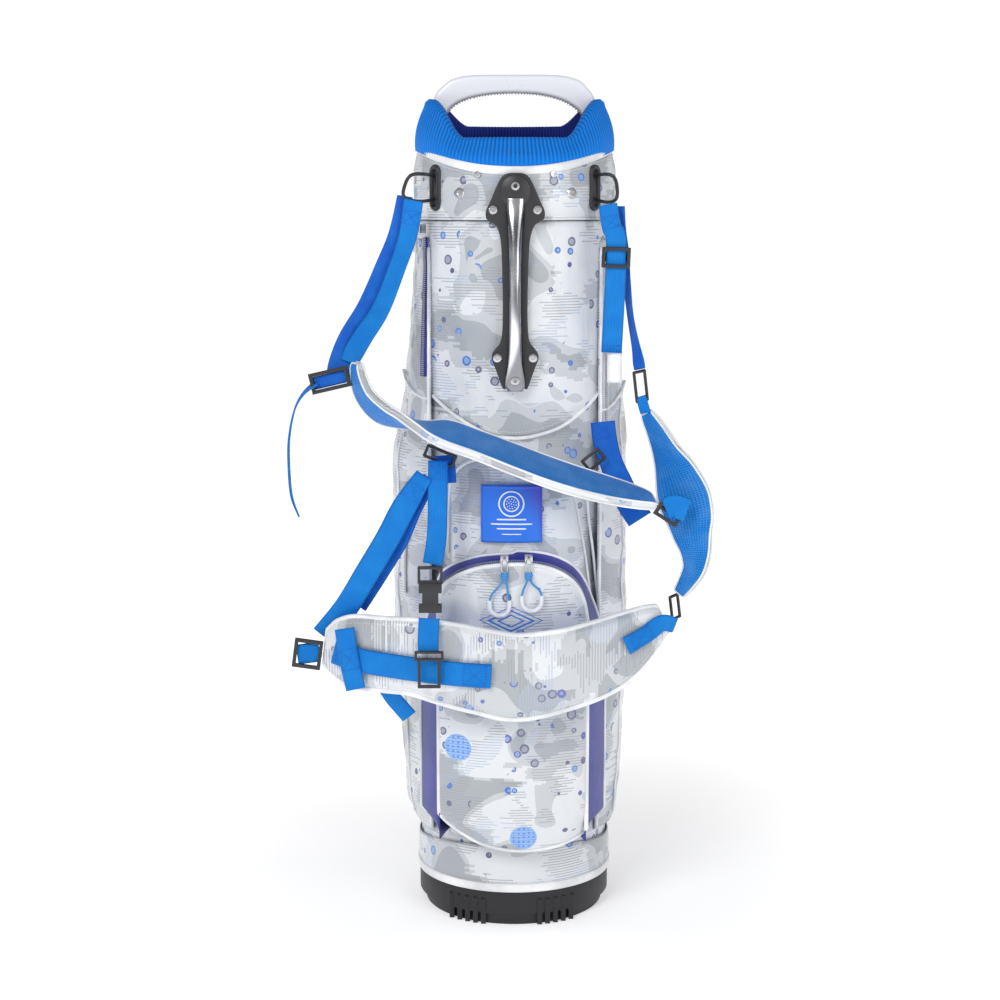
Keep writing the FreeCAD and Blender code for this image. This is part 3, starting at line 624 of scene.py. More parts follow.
def build_moulded_group():
    """Moulded plastic: fine grain, soft flow marks and rubbed edges."""
    g, gin, gout = shader_group("Moulded Grain", [
        ("Vector", "v", None), ("Color", "c", (0.02, 0.02, 0.02)), ("Worn", "c", (0.10, 0.10, 0.11)),
        ("Roughness", "f", 0.42), ("Grain", "f", 0.5)],
        [("Color", "c"), ("Height", "f"), ("Roughness", "f")])
    mm = g.mm(gin["Vector"])
    grain = g.add("ShaderNodeTexVoronoi", {"Vector": mm, "Scale": 1 / 0.7},
                  feature="F1").outputs["Distance"]
    flow = g.noise(mm, 1 / 26, 3.0, 0.55)
    scuff = g.step(g.noise(g.vector("MULTIPLY", mm, (1.0, 1.0, 0.25)), 1 / 3.2, 4.0, 0.7), 0.62, 0.78)
    colour = g.mix(g.mul(scuff, 0.22), gin["Color"], gin["Worn"])
    colour = g.mix(g.mul(flow, 0.12), colour, gin["Worn"])
    g.put(gout["Color"], colour)
    g.put(gout["Height"], g.mul(grain, gin["Grain"]))
    g.put(gout["Roughness"], g.plus(gin["Roughness"],
                                    g.mul_add(flow, 0.18, g.mul_add(scuff, 0.10, -0.09))))


def build_cloth_group():
    """Coated cloth: fine plain weave under the coating, with soft puckers."""
    g, gin, gout = shader_group("Coated Cloth", [
        ("Vector", "v", None), ("Pucker", "f", 1.0), ("Weave", "f", 1.0)],
        [("Height", "f"), ("Roughness", "f")])
    mm = g.mm(gin["Vector"])
    x, y, z = g.split(mm)
    threads = g.plus(g.sine(g.mul(z, 6.3)),
                     g.sine(g.mul(g.plus(x, y), 5.6)))
    pucker = g.noise(g.vector("MULTIPLY", mm, (1.0, 1.0, 0.42)), 1 / 17, 3.0, 0.5, 0.6)
    crease = g.noise(mm, 1 / 6, 2.0, 0.5)
    height = g.plus(g.mul(g.mul(threads, gin["Weave"]), 0.02),
                    g.mul(g.plus(pucker, g.mul(crease, 0.12)), gin["Pucker"]))
    g.put(gout["Height"], height)
    g.put(gout["Roughness"], g.mul_add(pucker, 0.22, g.mul(crease, 0.10)))


def build_motif_group():
    """Printed outline of nested diamonds, 1 on the lines and 0 between them."""
    g, gin, gout = shader_group("Diamond Motif", [
        ("Vector", "v", None), ("Width", "f", 30.0), ("Rings", "f", 3.2)],
        [("Mask", "f"), ("Inside", "f")])
    mm = g.mm(gin["Vector"])
    x, _, z = g.split(mm)
    reach = g.plus(g.div(g.size(x), gin["Width"]),
                   g.div(g.size(z), g.mul(gin["Width"], 0.46)))
    inside = g.under(reach, 1.0)
    rings = g.under(g.fract(g.mul(reach, gin["Rings"])), 0.42)
    hollow = g.over(reach, 0.34)
    g.put(gout["Mask"], g.mul(g.mul(rings, inside), hollow))
    g.put(gout["Inside"], inside)


def build_ball_group():
    """Printed golf ball: a striped disc with rows of dimples."""
    g, gin, gout = shader_group("Ball Motif", [("Vector", "v", None), ("Radius", "f", 15.0)],
                                [("Mask", "f"), ("Mark", "f")])
    mm = g.mm(gin["Vector"])
    x, _, z = g.split(mm)
    flat = g.joinxyz(x, 0.0, z)
    reach = g.div(g.vector("LENGTH", flat), gin["Radius"])
    disc = g.under(reach, 1.0)
    dimple = g.add("ShaderNodeTexVoronoi", {"Vector": flat, "Scale": 1 / 5.2, "Randomness": 0.15},
                   feature="F1", voronoi_dimensions="3D").outputs["Distance"]
    dots = g.mul(g.under(dimple, 0.27), g.under(reach, 0.86))
    stripe = g.under(g.fract(g.div(z, 2.9)), 0.22)
    g.put(gout["Mask"], disc)
    g.put(gout["Mark"], g.math("MAXIMUM", dots, g.mul(stripe, disc)))


class Finish:
    """One Principled material with its coordinates and a bump."""

    def __init__(self, name, **constants):
        self.material = bpy.data.materials.new(name)
        self.material.use_nodes = True
        tree = self.material.node_tree
        tree.nodes.clear()
        self.g = Graph(tree)
        self.shader = self.g.add("ShaderNodeBsdfPrincipled")
        out = self.g.add("ShaderNodeOutputMaterial")
        tree.links.new(self.shader.outputs[0], out.inputs["Surface"])
        coords = self.g.add("ShaderNodeTexCoord")
        self.place = coords.outputs["Object"]
        self.uv = coords.outputs["UV"]
        for label, value in constants.items():
            socket = self.shader.inputs[label.replace("_", " ")]
            socket.default_value = (*value,
                                    1.0) if hasattr(value, "__len__") and len(value) == 3 else value

    def group(self, name, **inputs):
        node = self.g.add("ShaderNodeGroup", node_tree=bpy.data.node_groups[name])
        for label, value in inputs.items():
            self.g.put(node.inputs[label.replace("_", " ")], value)
        return node.outputs

    def mapped(self, vector, offset=(0, 0, 0), turn=(0, 0, 0), scale=(1, 1, 1)):
        return self.g.add("ShaderNodeMapping", {"Vector": vector, "Location": offset, "Rotation": turn,
                                                "Scale": scale}).outputs[0]

    def feed(self, colour=None, roughness=None, height=None, depth=0.1, strength=1.0):
        """Colour, roughness and bump; depth is the bump's height in millimetres."""
        if colour is not None:
            self.g.put(self.shader.inputs["Base Color"], colour)
        if roughness is not None:
            self.g.put(self.shader.inputs["Roughness"], roughness)
        if height is not None:
            bump = self.g.add("ShaderNodeBump",
                              {"Height": height, "Distance": depth * MM, "Strength": strength})
            self.g.put(self.shader.inputs["Normal"], bump.outputs[0])
        return self.material


MATS = {}


def mat(name):
    return MATS[name]


def camo_finish(name, turn=(0, 0, 0), shift=0.0, drops=1.0, pucker=1.0, motifs=()):
    """Printed coated cloth; motifs are (kind, x, z, size) in millimetres."""
    f = Finish(name, Coat_Weight=0.6, Coat_Roughness=0.16, Sheen_Weight=0.05, Specular_IOR_Level=0.55)
    g = f.g
    where = f.mapped(f.place, turn=turn)
    printed = f.group("Camo Print", Vector=where, Shift=shift, Drops=drops)
    cloth = f.group("Coated Cloth", Vector=f.place, Pucker=pucker)
    colour = printed["Color"]
    for kind, x, z, size in motifs:
        here = f.mapped(f.place, offset=(-x * MM, 0, -z * MM))
        if kind == "diamond":
            mask = f.group("Diamond Motif", Vector=here, Width=size)
            colour = g.mix(g.mul(mask["Inside"], 0.5), colour, linear(196, 202, 212))
            colour = g.mix(mask["Mask"], colour, linear(52, 116, 206))
        else:
            mask = f.group("Ball Motif", Vector=here, Radius=size)
            colour = g.mix(g.mul(mask["Mask"], 0.9), colour, linear(138, 182, 238))
            colour = g.mix(mask["Mark"], colour, linear(84, 142, 224))
    roughness = g.plus(printed["Gloss"], g.mul_add(cloth["Roughness"], 0.6, -0.12))
    height = g.mul_add(printed["Height"], 0.03, cloth["Height"])
    return f.feed(colour, roughness, height, depth=2.4, strength=0.75)


def webbing_finish(name, colour, cord=1.5):
    f = Finish(name, Sheen_Weight=0.05, Sheen_Roughness=0.4, Specular_IOR_Level=0.25)
    w = f.group("Tape Weave", UV=f.uv, Color=colour, Cord_Pitch=cord)
    return f.feed(w["Color"], w["Roughness"], w["Height"], depth=0.22, strength=0.6)


def plastic_finish(name, colour, worn, roughness, grain=0.5, depth=0.06, **extra):
    f = Finish(name, **extra)
    m = f.group("Moulded Grain", Vector=f.place, Color=colour, Worn=worn, Roughness=roughness,
                Grain=grain)
    return f.feed(m["Color"], m["Roughness"], m["Height"], depth=depth, strength=0.6)


def metal_finish(name, colour, roughness, stretch=(1, 1, 0.03), depth=0.01, shade=0.0):
    """Bare metal with fine drawn lines and faint smudges; shade paints broad dark bands on it, a
    painted reflection of dark surroundings.
    """
    f = Finish(name, Metallic=1.0)
    g = f.g
    mm = g.mm(f.place)
    lines = g.noise(g.vector("MULTIPLY", mm, stretch), 2.6, 3.0, 0.6)
    smudge = g.noise(mm, 1 / 14, 3.0)
    rough = g.plus(g.mul_add(smudge, 0.16, roughness - 0.08), g.mul(lines, 0.06))
    tone = g.mix(g.mul(smudge, 0.3), colour, tuple(0.7 * c for c in colour))
    if shade:
        # painted reflection: broad dark bands stand for dark surroundings mirrored in the polished
        # metal
        band = g.step(g.noise(g.vector("MULTIPLY", mm, (1.6, 0.0, 0.5)), 1 / 34, 0.0), 0.42, 0.60)
        tone = g.mix(g.mul(band, shade), tone, (0.10, 0.10, 0.12))
    return f.feed(tone, rough, lines, depth=depth, strength=0.4)


def cloth_finish(name, colour, roughness=0.6, weave=1.0, **extra):
    """Plain cloth in one dye with fading and creases."""
    f = Finish(name, **extra)
    g = f.g
    cloth = f.group("Coated Cloth", Vector=f.place, Weave=weave, Pucker=0.8)
    mm = g.mm(f.place)
    fade = g.step(g.noise(mm, 1 / 45, 3.0), 0.3, 0.75)
    light = tuple(min(1.0, 1.18 * c + 0.012) for c in colour)
    shade = g.mix(fade, tuple(0.82 * c for c in colour), light)
    rough = g.mul_add(cloth["Roughness"], 0.5, roughness - 0.1)
    return f.feed(shade, rough, cloth["Height"], depth=0.9, strength=0.5)


def mesh_cloth_finish(name, colour):
    """Air mesh over foam: small open cells on the piece's UV, painted darker as painted shade, with
    broad painted sheen patches.
    """
    f = Finish(name, Sheen_Weight=0.12, Specular_IOR_Level=0.3)
    g = f.g
    mm = g.mm(f.uv)
    cell = g.add("ShaderNodeTexVoronoi", {"Vector": mm, "Scale": 1 / 2.3, "Randomness": 0.12},
                 feature="F1", voronoi_dimensions="2D").outputs["Distance"]
    hole = g.step(cell, 0.36, 0.20)
    painted_sheen_patches = g.noise(mm, 1 / 30, 2.0)
    # painted shade: the open cells are darker
    shade = g.mix(hole, colour, tuple(0.42 * c for c in colour))
    # painted sheen: broad lighter, bluer patches on the mesh
    shade = g.mix(g.mul(g.step(painted_sheen_patches, 0.35, 0.75), 0.14), shade, (0.30, 0.60, 1.0))
    rough = g.mul_add(hole, 0.12, 0.62)
    return f.feed(shade, rough, g.minus(1.0, hole), depth=0.3, strength=0.7)


def knit_finish(name, colour, deep):
    """Rib knit: loops along each rib, painted darker between the ribs as painted shade."""
    f = Finish(name, Sheen_Weight=0.05, Sheen_Roughness=0.5, Specular_IOR_Level=0.2)
    g = f.g
    mm = g.mm(f.place)
    z = g.split(mm)[2]
    loops = g.size(g.sine(g.mul(z, 2.1)))
    fuzz = g.noise(mm, 0.8, 3.0, 0.6)
    valley = g.add("ShaderNodeAttribute", attribute_name="rib").outputs["Fac"]
    # painted shade: the knit is darker between the ribs; deep is that shade colour
    shade = g.mix(g.step(valley, 0.0, 0.8), deep, colour)
    shade = g.mix(g.mul(fuzz, 0.2), shade, tuple(0.6 * c for c in colour))
    return f.feed(shade, g.mul_add(fuzz, 0.2, 0.6), g.mul_add(loops, 0.5, fuzz),
                  depth=0.25, strength=0.5)


def patch_finish():
    """Soft badge: blue running to violet at its right edge, fine moulded texture."""
    f = Finish("badge_rubber", Specular_IOR_Level=0.5, Coat_Weight=0.15, Coat_Roughness=0.3)
    g = f.g
    mm = g.mm(f.place)
    x, _, z = g.split(mm)
    run = g.step(g.plus(x, g.mul(g.minus(z, 447.0), 0.5)), 8.0, 44.0)
    shade = g.mix(run, linear(16, 112, 224), linear(74, 66, 188))
    grain = g.add("ShaderNodeTexVoronoi", {"Vector": mm, "Scale": 1 / 0.9},
                  feature="F1").outputs["Distance"]
    shade = g.mix(g.mul(g.noise(mm, 1 / 12, 3.0), 0.2), shade, linear(30, 90, 200))
    return f.feed(shade, g.mul_add(grain, 0.12, 0.38), grain, depth=0.12, strength=0.5)


def build_finishes():
    c = colours()
    build_print_group()
    build_weave_group()
    build_moulded_group()
    build_cloth_group()
    build_motif_group()
    build_ball_group()
    white = linear(238, 240, 244)
    MATS.update(
        camo=camo_finish("camo_cloth"),
        camo_side=camo_finish("camo_cloth_side", turn=(0, 0, 0.6), shift=140.0),
        camo_collar=camo_finish("camo_cloth_collar", shift=420.0, pucker=0.35),
        camo_ball=camo_finish("camo_cloth_ball_pocket", shift=260.0, motifs=(
            ("diamond", -4, 341, 33), ("ball", -59, 205, 14), ("ball", 9, 108, 14))),
        camo_pad=camo_finish("camo_cloth_pad", turn=(0, pi / 2, 0), shift=75.0, drops=0.8),
        webbing=webbing_finish("blue_webbing", c.webbing),
        # a darker copy of the webbing: painted shade for the plies that lie behind or under others
        webbing_deep=webbing_finish("blue_webbing_painted_shade", linear(16, 98, 206)),
        pad_mesh=mesh_cloth_finish("pad_air_mesh", c.webbing),
        pad_edge=camo_finish("camo_cloth_edge", shift=610.0, drops=0.4, pucker=0.5),
        piping=cloth_finish("white_piping", c.piping, 0.42, 0.6, Coat_Weight=0.2),
        gusset=cloth_finish("violet_cloth", c.gusset, 0.5, 1.0, Sheen_Weight=0.1),
        lining=cloth_finish("lining_cloth", c.lining, 0.7, 1.4),
        tag=cloth_finish("white_tape", white, 0.6, 1.2),
        knit=knit_finish("rib_knit", c.knit, tuple(0.45 * v for v in c.knit)),
        # the inside of the cuff takes a darker copy of the knit, as painted shade
        knit_inner=knit_finish("rib_knit_inner", linear(40, 66, 178), linear(20, 28, 100)),
        black=plastic_finish("black_moulding", c.moulding, linear(84, 84, 90), 0.40),
        black_base=plastic_finish("black_base_moulding", linear(26, 26, 29), linear(70, 70, 74), 0.48,
                                  0.8, 0.12),
        white_plastic=plastic_finish("white_moulding", linear(232, 234, 242), linear(206, 210, 222),
                                     0.30, 0.2,
                                     0.02, Coat_Weight=0.2),
        # grey for the teeth under the white handle: painted shade on the white moulding
        grip=plastic_finish("handle_teeth_painted_shade", linear(150, 152, 172), linear(100, 100, 120), 0.5),
        mark=plastic_finish("badge_marks", white, linear(214, 218, 230), 0.45),
        badge=patch_finish(),
        zip_tape=cloth_finish("zip_tape", linear(58, 56, 134), 0.7, 1.6),
        zip_white=cloth_finish("zip_tape_white", linear(206, 208, 216), 0.6, 1.6),
        zip_teeth=metal_finish("zip_teeth", (0.42, 0.43, 0.47), 0.35),
        # the polished plate gets painted dark reflection bands through shade
        chrome=metal_finish("polished_plate", (0.86, 0.87, 0.90), 0.13, (1, 1, 0.03), shade=0.8),
        steel=metal_finish("plated_steel", (0.62, 0.62, 0.64), 0.24, (1, 1, 1)),
        alu=metal_finish("leg_tube", (0.80, 0.81, 0.84), 0.28),
        wire=plastic_finish("coated_wire", linear(30, 30, 33), linear(96, 96, 100), 0.32),
        rubber=plastic_finish("foot_rubber", linear(24, 24, 25), linear(60, 60, 60), 0.66, 1.0, 0.2),
        fibre=plastic_finish("stay_fibre", linear(58, 58, 62), linear(92, 92, 96), 0.5),
        cord=webbing_finish("pull_cord", linear(86, 160, 226), 0.9),
        thread=plastic_finish("sewing_thread", linear(226, 228, 234), linear(190, 192, 200), 0.6),
        thread_blue=plastic_finish("sewing_thread_blue", linear(8, 82, 180), linear(30, 110, 220), 0.6),
    )


# ---- Geometry Nodes: what repeats along a path ----------------------------------------
def repeat_tree(name, kind):
    """Places one small mesh at even steps along a curve, turned with it and facing outwards.

    kind is "stitch" for a short rounded dash and "tooth" for a zip tooth.
    """
    tree = bpy.data.node_groups.new(name, "GeometryNodeTree")
    face = tree.interface
    face.new_socket("Path", in_out="INPUT", socket_type="NodeSocketGeometry")
    for label, default in (("Pitch", 3.0 * MM), ("Length", 2.0 * MM), ("Width", 0.6 * MM),
                           ("Height", 0.5 * MM)):
        face.new_socket(label, in_out="INPUT", socket_type="NodeSocketFloat").default_value = default
    face.new_socket("Finish", in_out="INPUT", socket_type="NodeSocketMaterial")
    face.new_socket("Geometry", in_out="OUTPUT", socket_type="NodeSocketGeometry")
    g = Graph(tree)
    gin = g.add("NodeGroupInput").outputs
    gout = g.add("NodeGroupOutput").inputs
    curve = g.add("GeometryNodeMeshToCurve", {"Mesh": gin["Path"]})
    spaced = g.add("GeometryNodeResampleCurve", {"Curve": curve.outputs[0], "Length": gin["Pitch"]},
                   mode="LENGTH")
    points = g.add("GeometryNodeCurveToPoints", {"Curve": spaced.outputs[0]}, mode="EVALUATED")
    size = g.add("ShaderNodeCombineXYZ", {"X": gin["Width"], "Y": gin["Height"], "Z": gin["Length"]})
    if kind == "stitch":
        dash = g.add("GeometryNodeMeshIcoSphere", {"Radius": 0.5, "Subdivisions": 1})
    else:
        dash = g.add("GeometryNodeMeshCube", {"Size": (1.0, 1.0, 1.0)})
    shaped = g.add("GeometryNodeTransform",
                   {"Geometry": dash.outputs["Mesh"], "Scale": size.outputs[0]})
    out = g.add("GeometryNodeInputNamedAttribute", {"Name": "out"}, data_type="FLOAT_VECTOR")
    aim = g.add("FunctionNodeAlignRotationToVector", {"Vector": points.outputs["Tangent"]}, axis="Z")
    roll = g.add("FunctionNodeAlignRotationToVector",
                 {"Rotation": aim.outputs[0], "Vector": out.outputs[0]}, axis="Y", pivot_axis="Z")
    placed = g.add("GeometryNodeInstanceOnPoints", {
        "Points": points.outputs["Points"], "Instance": shaped.outputs[0], "Rotation": roll.outputs[0]})
    real = g.add("GeometryNodeRealizeInstances", {"Geometry": placed.outputs[0]})
    done = g.add("GeometryNodeSetMaterial", {"Geometry": real.outputs[0], "Material": gin["Finish"]})
    g.put(gout["Geometry"], done.outputs[0])
    return tree


def build_repeat_trees():
    repeat_tree("Stitches Along Path", "stitch")
    repeat_tree("Zip Teeth Along Path", "tooth")


def along_path(name, tree_name, paths, finish, **inputs):
    """Runs a repeat tree over polylines; each path is (points, outward normals), millimetres."""
    verts, edges, outs = [], [], []
    for points, normals in paths:
        first = len(verts)
        verts += [tuple(float(c) * MM for c in p) for p in points]
        outs += [tuple(float(c) for c in n) for n in normals]
        edges += [(first + i, first + i + 1) for i in range(len(points) - 1)]
    mesh = bpy.data.meshes.new(name)
    mesh.from_pydata(verts, edges, [])
    layer = mesh.attributes.new("out", "FLOAT_VECTOR", "POINT")
    layer.data.foreach_set("vector", np.array(outs, dtype=np.float32).ravel())
    obj = bpy.data.objects.new(name, mesh)
    bpy.context.collection.objects.link(obj)
    tree = bpy.data.node_groups[tree_name]
    mod = obj.modifiers.new("repeat", "NODES")
    mod.node_group = tree
    wanted = {label: value * MM for label, value in inputs.items()}
    wanted["Finish"] = finish
    for item in tree.interface.items_tree:
        if item.item_type == "SOCKET" and item.in_out == "INPUT" and item.name in wanted:
            mod[item.identifier] = wanted[item.name]
    apply_modifiers(obj)
    if not obj.data.polygons:
        raise RuntimeError(name + " made no faces")
    return obj


def stitches(name, paths, finish, length=2.1, width=0.75, height=0.55):
    return along_path(name, "Stitches Along Path", paths, finish,
                      Pitch=sizes().stitch / MM, Length=length, Width=width, Height=height)


# ---- surfaces of the bag ---------------------------------------------------------------
def mid_bulge(x, z):
    """Y of the middle pocket's face at x, z before it is crowned."""
    levels_a = np.interp(z, [80, 250, 420, 520], [106, 108, 108, 106])
    levels_b = np.interp(z, [80, 250, 420, 520], [106, 115, 115, 104])
    return front_of(levels_a, levels_b, x)


def coons(left, right, bottom, top, rows, cols):
    """Grid of (x, z) between four boundary lines; rows run from bottom to top."""
    def at(line, t):
        line = np.array(line, dtype=float)
        run = np.concatenate([[0], np.cumsum(np.linalg.norm(np.diff(line, axis=0), axis=1))])
        return np.array([np.interp(t * run[-1], run, line[:, k]) for k in range(2)])
    grid = np.zeros((rows, cols, 2))
    c00, c10 = np.array(bottom[0], float), np.array(bottom[-1], float)
    c01, c11 = np.array(top[0], float), np.array(top[-1], float)
    for r in range(rows):
        v = r / (rows - 1)
        lo, hi = at(left, v), at(right, v)
        for c in range(cols):
            u = c / (cols - 1)
            b, t = at(bottom, u), at(top, u)
            flat = (1 - u) * (1 - v) * c00 + u * (1 - v) * c10 + (1 - u) * v * c01 + u * v * c11
            grid[r, c] = (1 - u) * lo + u * hi + (1 - v) * b + v * t - flat
    return grid


def pillow(u, v, edge=0.08):
    """0 on the edges of a panel, 1 inside, rounded like stuffed cloth."""
    near = min(u, 1 - u, v, 1 - v)
    t = min(1.0, near / edge)
    return sqrt(max(0.0, 1 - (1 - t) ** 2))


def lifted(grid, depth):
    """Adds y to an (x, z) grid; depth(x, z, u, v) gives y."""
    rows, cols = grid.shape[:2]
    out = np.zeros((rows, cols, 3))
    for r in range(rows):
        for c in range(cols):
            x, z = grid[r, c]
            out[r, c] = (x, depth(x, z, c / (cols - 1), r / (rows - 1)), z)
    return out


def outward(p, b_over_a=1.1):
    n = Vector((p[0] * b_over_a, p[1], 0.0))
    return tuple(n.normalized())


def tape_path(points, step=2.0):
    pts = evenly(points, step)
    return pts, [outward(p) for p in pts]


MID_LEFT = [(-70, 92), (-69, 300), (-67, 470)]
MID_TOP = [(-67, 470), (-64, 482), (-52, 495), (-36, 501), (-10, 502), (18, 499), (44, 489), (60, 470)]
MID_RIGHT = [(82, 92), (80, 350), (70, 420), (60, 470)]
U_SEAM = [(-87, 564), (-63, 546), (-30, 528), (-8, 524), (16, 525), (47, 534), (71, 550), (88, 566)]
ARCH_TOP = [(-79, 335), (-78, 352), (-74, 371), (-66, 380), (-53, 388), (-30, 396), (5, 399), (35, 394),
            (58, 380), (70, 360), (75, 335)]
BALL_FOOT = [(-79, 128), (-74, 122), (-66, 115), (-52, 106), (-32, 97), (0, 91.5), (36, 93), (62, 100),
             (75, 108)]


def ball_front(x):
    """Y of the ball pocket's front panel at x: a shallow crown."""
    return -137.0 + 22.0 * (x / 78.0) ** 2


class GOLFBAG_OT_tube(bpy.types.Operator):
    """Builds the bag's tube with its base band and lining"""
    bl_idname = "golfbag.tube"
    bl_label = "Bag tube"

    def execute(self, context):
        sides, rows = 168, 110
        grid = np.zeros((rows, sides, 3))
        for r in range(rows):
            z = TUBE_BASE + (SEAM_Z - TUBE_BASE) * r / (rows - 1)
            for s in range(sides):
                t = TURN * s / sides
                p = (cos(t) * tube_a(z), sin(t) * TUBE_B, z)
                hold = min(1.0, min(z - TUBE_BASE, SEAM_Z - z) / 40)
                lift = hold * (wrinkle(p, 60, 1.7) + wrinkle((p[0], p[1], 0.5 * z), 21, 0.9, 3.0)) - 1.2
                grid[r, s] = (p[0] * (1 + lift / TUBE_A), p[1] * (1 + lift / TUBE_B), z)
        tube_obj = face_out(grid_piece("bag_tube", grid, wrap_cols=True, recalc=False))
        tube_obj.data.materials.append(mat("camo"))
        tube_obj.data.materials.append(mat("lining"))
        thicken(tube_obj, 2.6, inner_slot=1)
        keep(tube_obj, "camo_fabric", replaces=["body_shell"])

        low, high = span("base_band")
        a, b = (high.x - low.x) / 2, (high.y - low.y) / 2
        seam_low, seam_side = BAND_TOP + 3, BAND_TOP - 9
        ring = []
        for r in range(15):
            v = r / 14
            row = []
            for t in full_turn(sides):
                top = seam_side + (seam_low - seam_side) * abs(sin(t)) ** 1.5
                z = low.z + 3 + (top - low.z - 3) * v
                puff = 1.1 * sin(pi * min(1, max(0, v))) ** 0.6 - 0.4
                p = (cos(t) * (a + puff), sin(t) * (b + puff), z)
                lift = 0.35 * wrinkle(p, 30, 1.0, 5.0)
                row.append((p[0] * (1 + lift / a), p[1] * (1 + lift / b), z))
            ring.append(row)
        band = face_out(grid_piece("lower_band", ring, wrap_cols=True, recalc=False))
        thicken(band, 1.2)
        keep(band, "camo_fabric", replaces=["base_band"], finish="camo_collar")

        bind = []
        for t in full_turn(14):
            out, up = 1.5 * cos(t), 4.7 * sin(t)
            bind.append((a + 0.5 + math.copysign(abs(out) ** 0.8, out), low.z + 5.0 + up))
        rows_out = []
        for radius, z in bind + bind[:1]:
            rows_out.append([(cos(TURN * s / sides) * radius,
                              sin(TURN * s / sides) * (radius - a + b), z) for s in range(sides)])
        binding = grid_piece("lower_binding", rows_out[:-1], wrap_cols=True, wrap_rows=True)
        keep(binding, "white_tape", finish="piping")
        ring_path = [(cos(t) * (a + 1.4), sin(t) * (b + 1.4), low.z + 10.8)
                     for t in np.linspace(0, TURN, 240)]
        sewn = stitches("lower_binding_stitches", [tape_path(ring_path)], mat("thread"))
        keep(sewn, "white_tape")
        return {"FINISHED"}


class GOLFBAG_OT_panels(bpy.types.Operator):
    """Builds the upper front panel, its piping and the middle pocket"""
    bl_idname = "golfbag.panels"
    bl_label = "Front panels"

    def execute(self, context):
        pipe = sizes().piping / MM
        left = [(-88, 566), (-88, 743)]
        right = [(89, 566), (89, 743)]
        grid = coons(left, right, spline(U_SEAM, 5), [(-88, 743), (89, 743)], 64, 60)

        def bib_depth(x, z, u, v):
            p = (x, 0, z)
            fold = 1.6 * exp(-((x + 46) / 13) ** 2) * exp(-((z - 560) / 45) ** 2)
            fold += 1.2 * exp(-((x + 52 - 0.35 * (z - 560)) / 8) ** 2) * exp(-((z - 600) / 60) ** 2)
            lift = pillow(u, v, 0.06) * (1.1 + wrinkle(p, 40, 1.9, 7.0) + fold)
            return tube_front(x, z, 1.0) - lift
        bib = grid_piece("bib_panel_cloth", lifted(grid, bib_depth))
        face_out(bib)
        thicken(bib, 1.0)
        keep(bib, "camo_fabric", replaces=["bib_panel"], finish="camo")

        grid = coons(MID_LEFT, MID_RIGHT, [(-70, 92), (82, 92)], spline(MID_TOP, 5), 80, 54)

        def mid_depth(x, z, u, v):
            soft = pillow(u, v, 0.10)
            face = tube_front(x, z, 0.6) + soft * (mid_bulge(x, z) + 1.6 - tube_front(x, z, 0.6))
            lift = soft * (wrinkle((x, 0, 0.7 * z), 34, 2.3, 2.0) + 0.8)
            lift += 1.1 * soft * exp(-((x - 52 - 0.1 * (z - 430)) / 6) ** 2)
            return face - lift
        pocket = grid_piece("middle_pocket", lifted(grid, mid_depth))
        face_out(pocket)
        thicken(pocket, 1.0)
        keep(pocket, "camo_fabric", replaces=["mid_pocket"], finish="camo")

        lines = []
        seam = [(x, tube_front(x, z, 2.0), z) for x, z in spline(U_SEAM, 6)]
        lines.append(tube("bib_piping", seam, pipe, 10))
        for x, z0, z1 in ((-88, 562, 680), (89, 530, 640)):
            line = [(x, tube_front(x, z, 2.0), z) for z in np.linspace(z0, z1, 24)]
            lines.append(tube("side_piping", line, pipe * 0.9, 10))
        arch = [(x, tube_front(x, z, 2.2), z) for x, z in spline(MID_TOP, 6)]
        arch = [(-69, tube_front(-69, z, 2.0), z) for z in (400, 430)] + arch
        lines.append(tube("pocket_piping", arch, pipe, 10))
        seam_right = [(x, tube_front(x, z, 2.4), z)
                      for x, z in spline([(60, 470), (66, 440), (74, 395), (80, 350)], 6)]
        lines.append(tube("pocket_piping_right", seam_right, pipe * 0.8, 10))
        second = [(x + 13, tube_front(x + 13, z, 2.6), z)
                  for x, z in spline([(62, 480), (64, 440), (70, 395), (76, 340)], 6)]
        lines.append(tube("pocket_fold_right", second, pipe * 0.8, 10))
        piping = joined("front_piping", lines)
        keep(piping, "white_tape", finish="piping")

        sewn = []
        inner_u = [(x * 0.965, tube_front(x * 0.965, z + 6, 2.6), z + 6) for x, z in spline(U_SEAM, 6)]
        sewn.append(tape_path(inner_u))
        row = [(x, front_of(tube_a(SEAM_Z) + 3.2, TUBE_B + 3.2, x), SEAM_Z - 5)
               for x in np.linspace(-84, 84, 60)]
        sewn.append(tape_path(row))
        keep(stitches("front_stitches", sewn, mat("thread")), "white_tape")
        return {"FINISHED"}


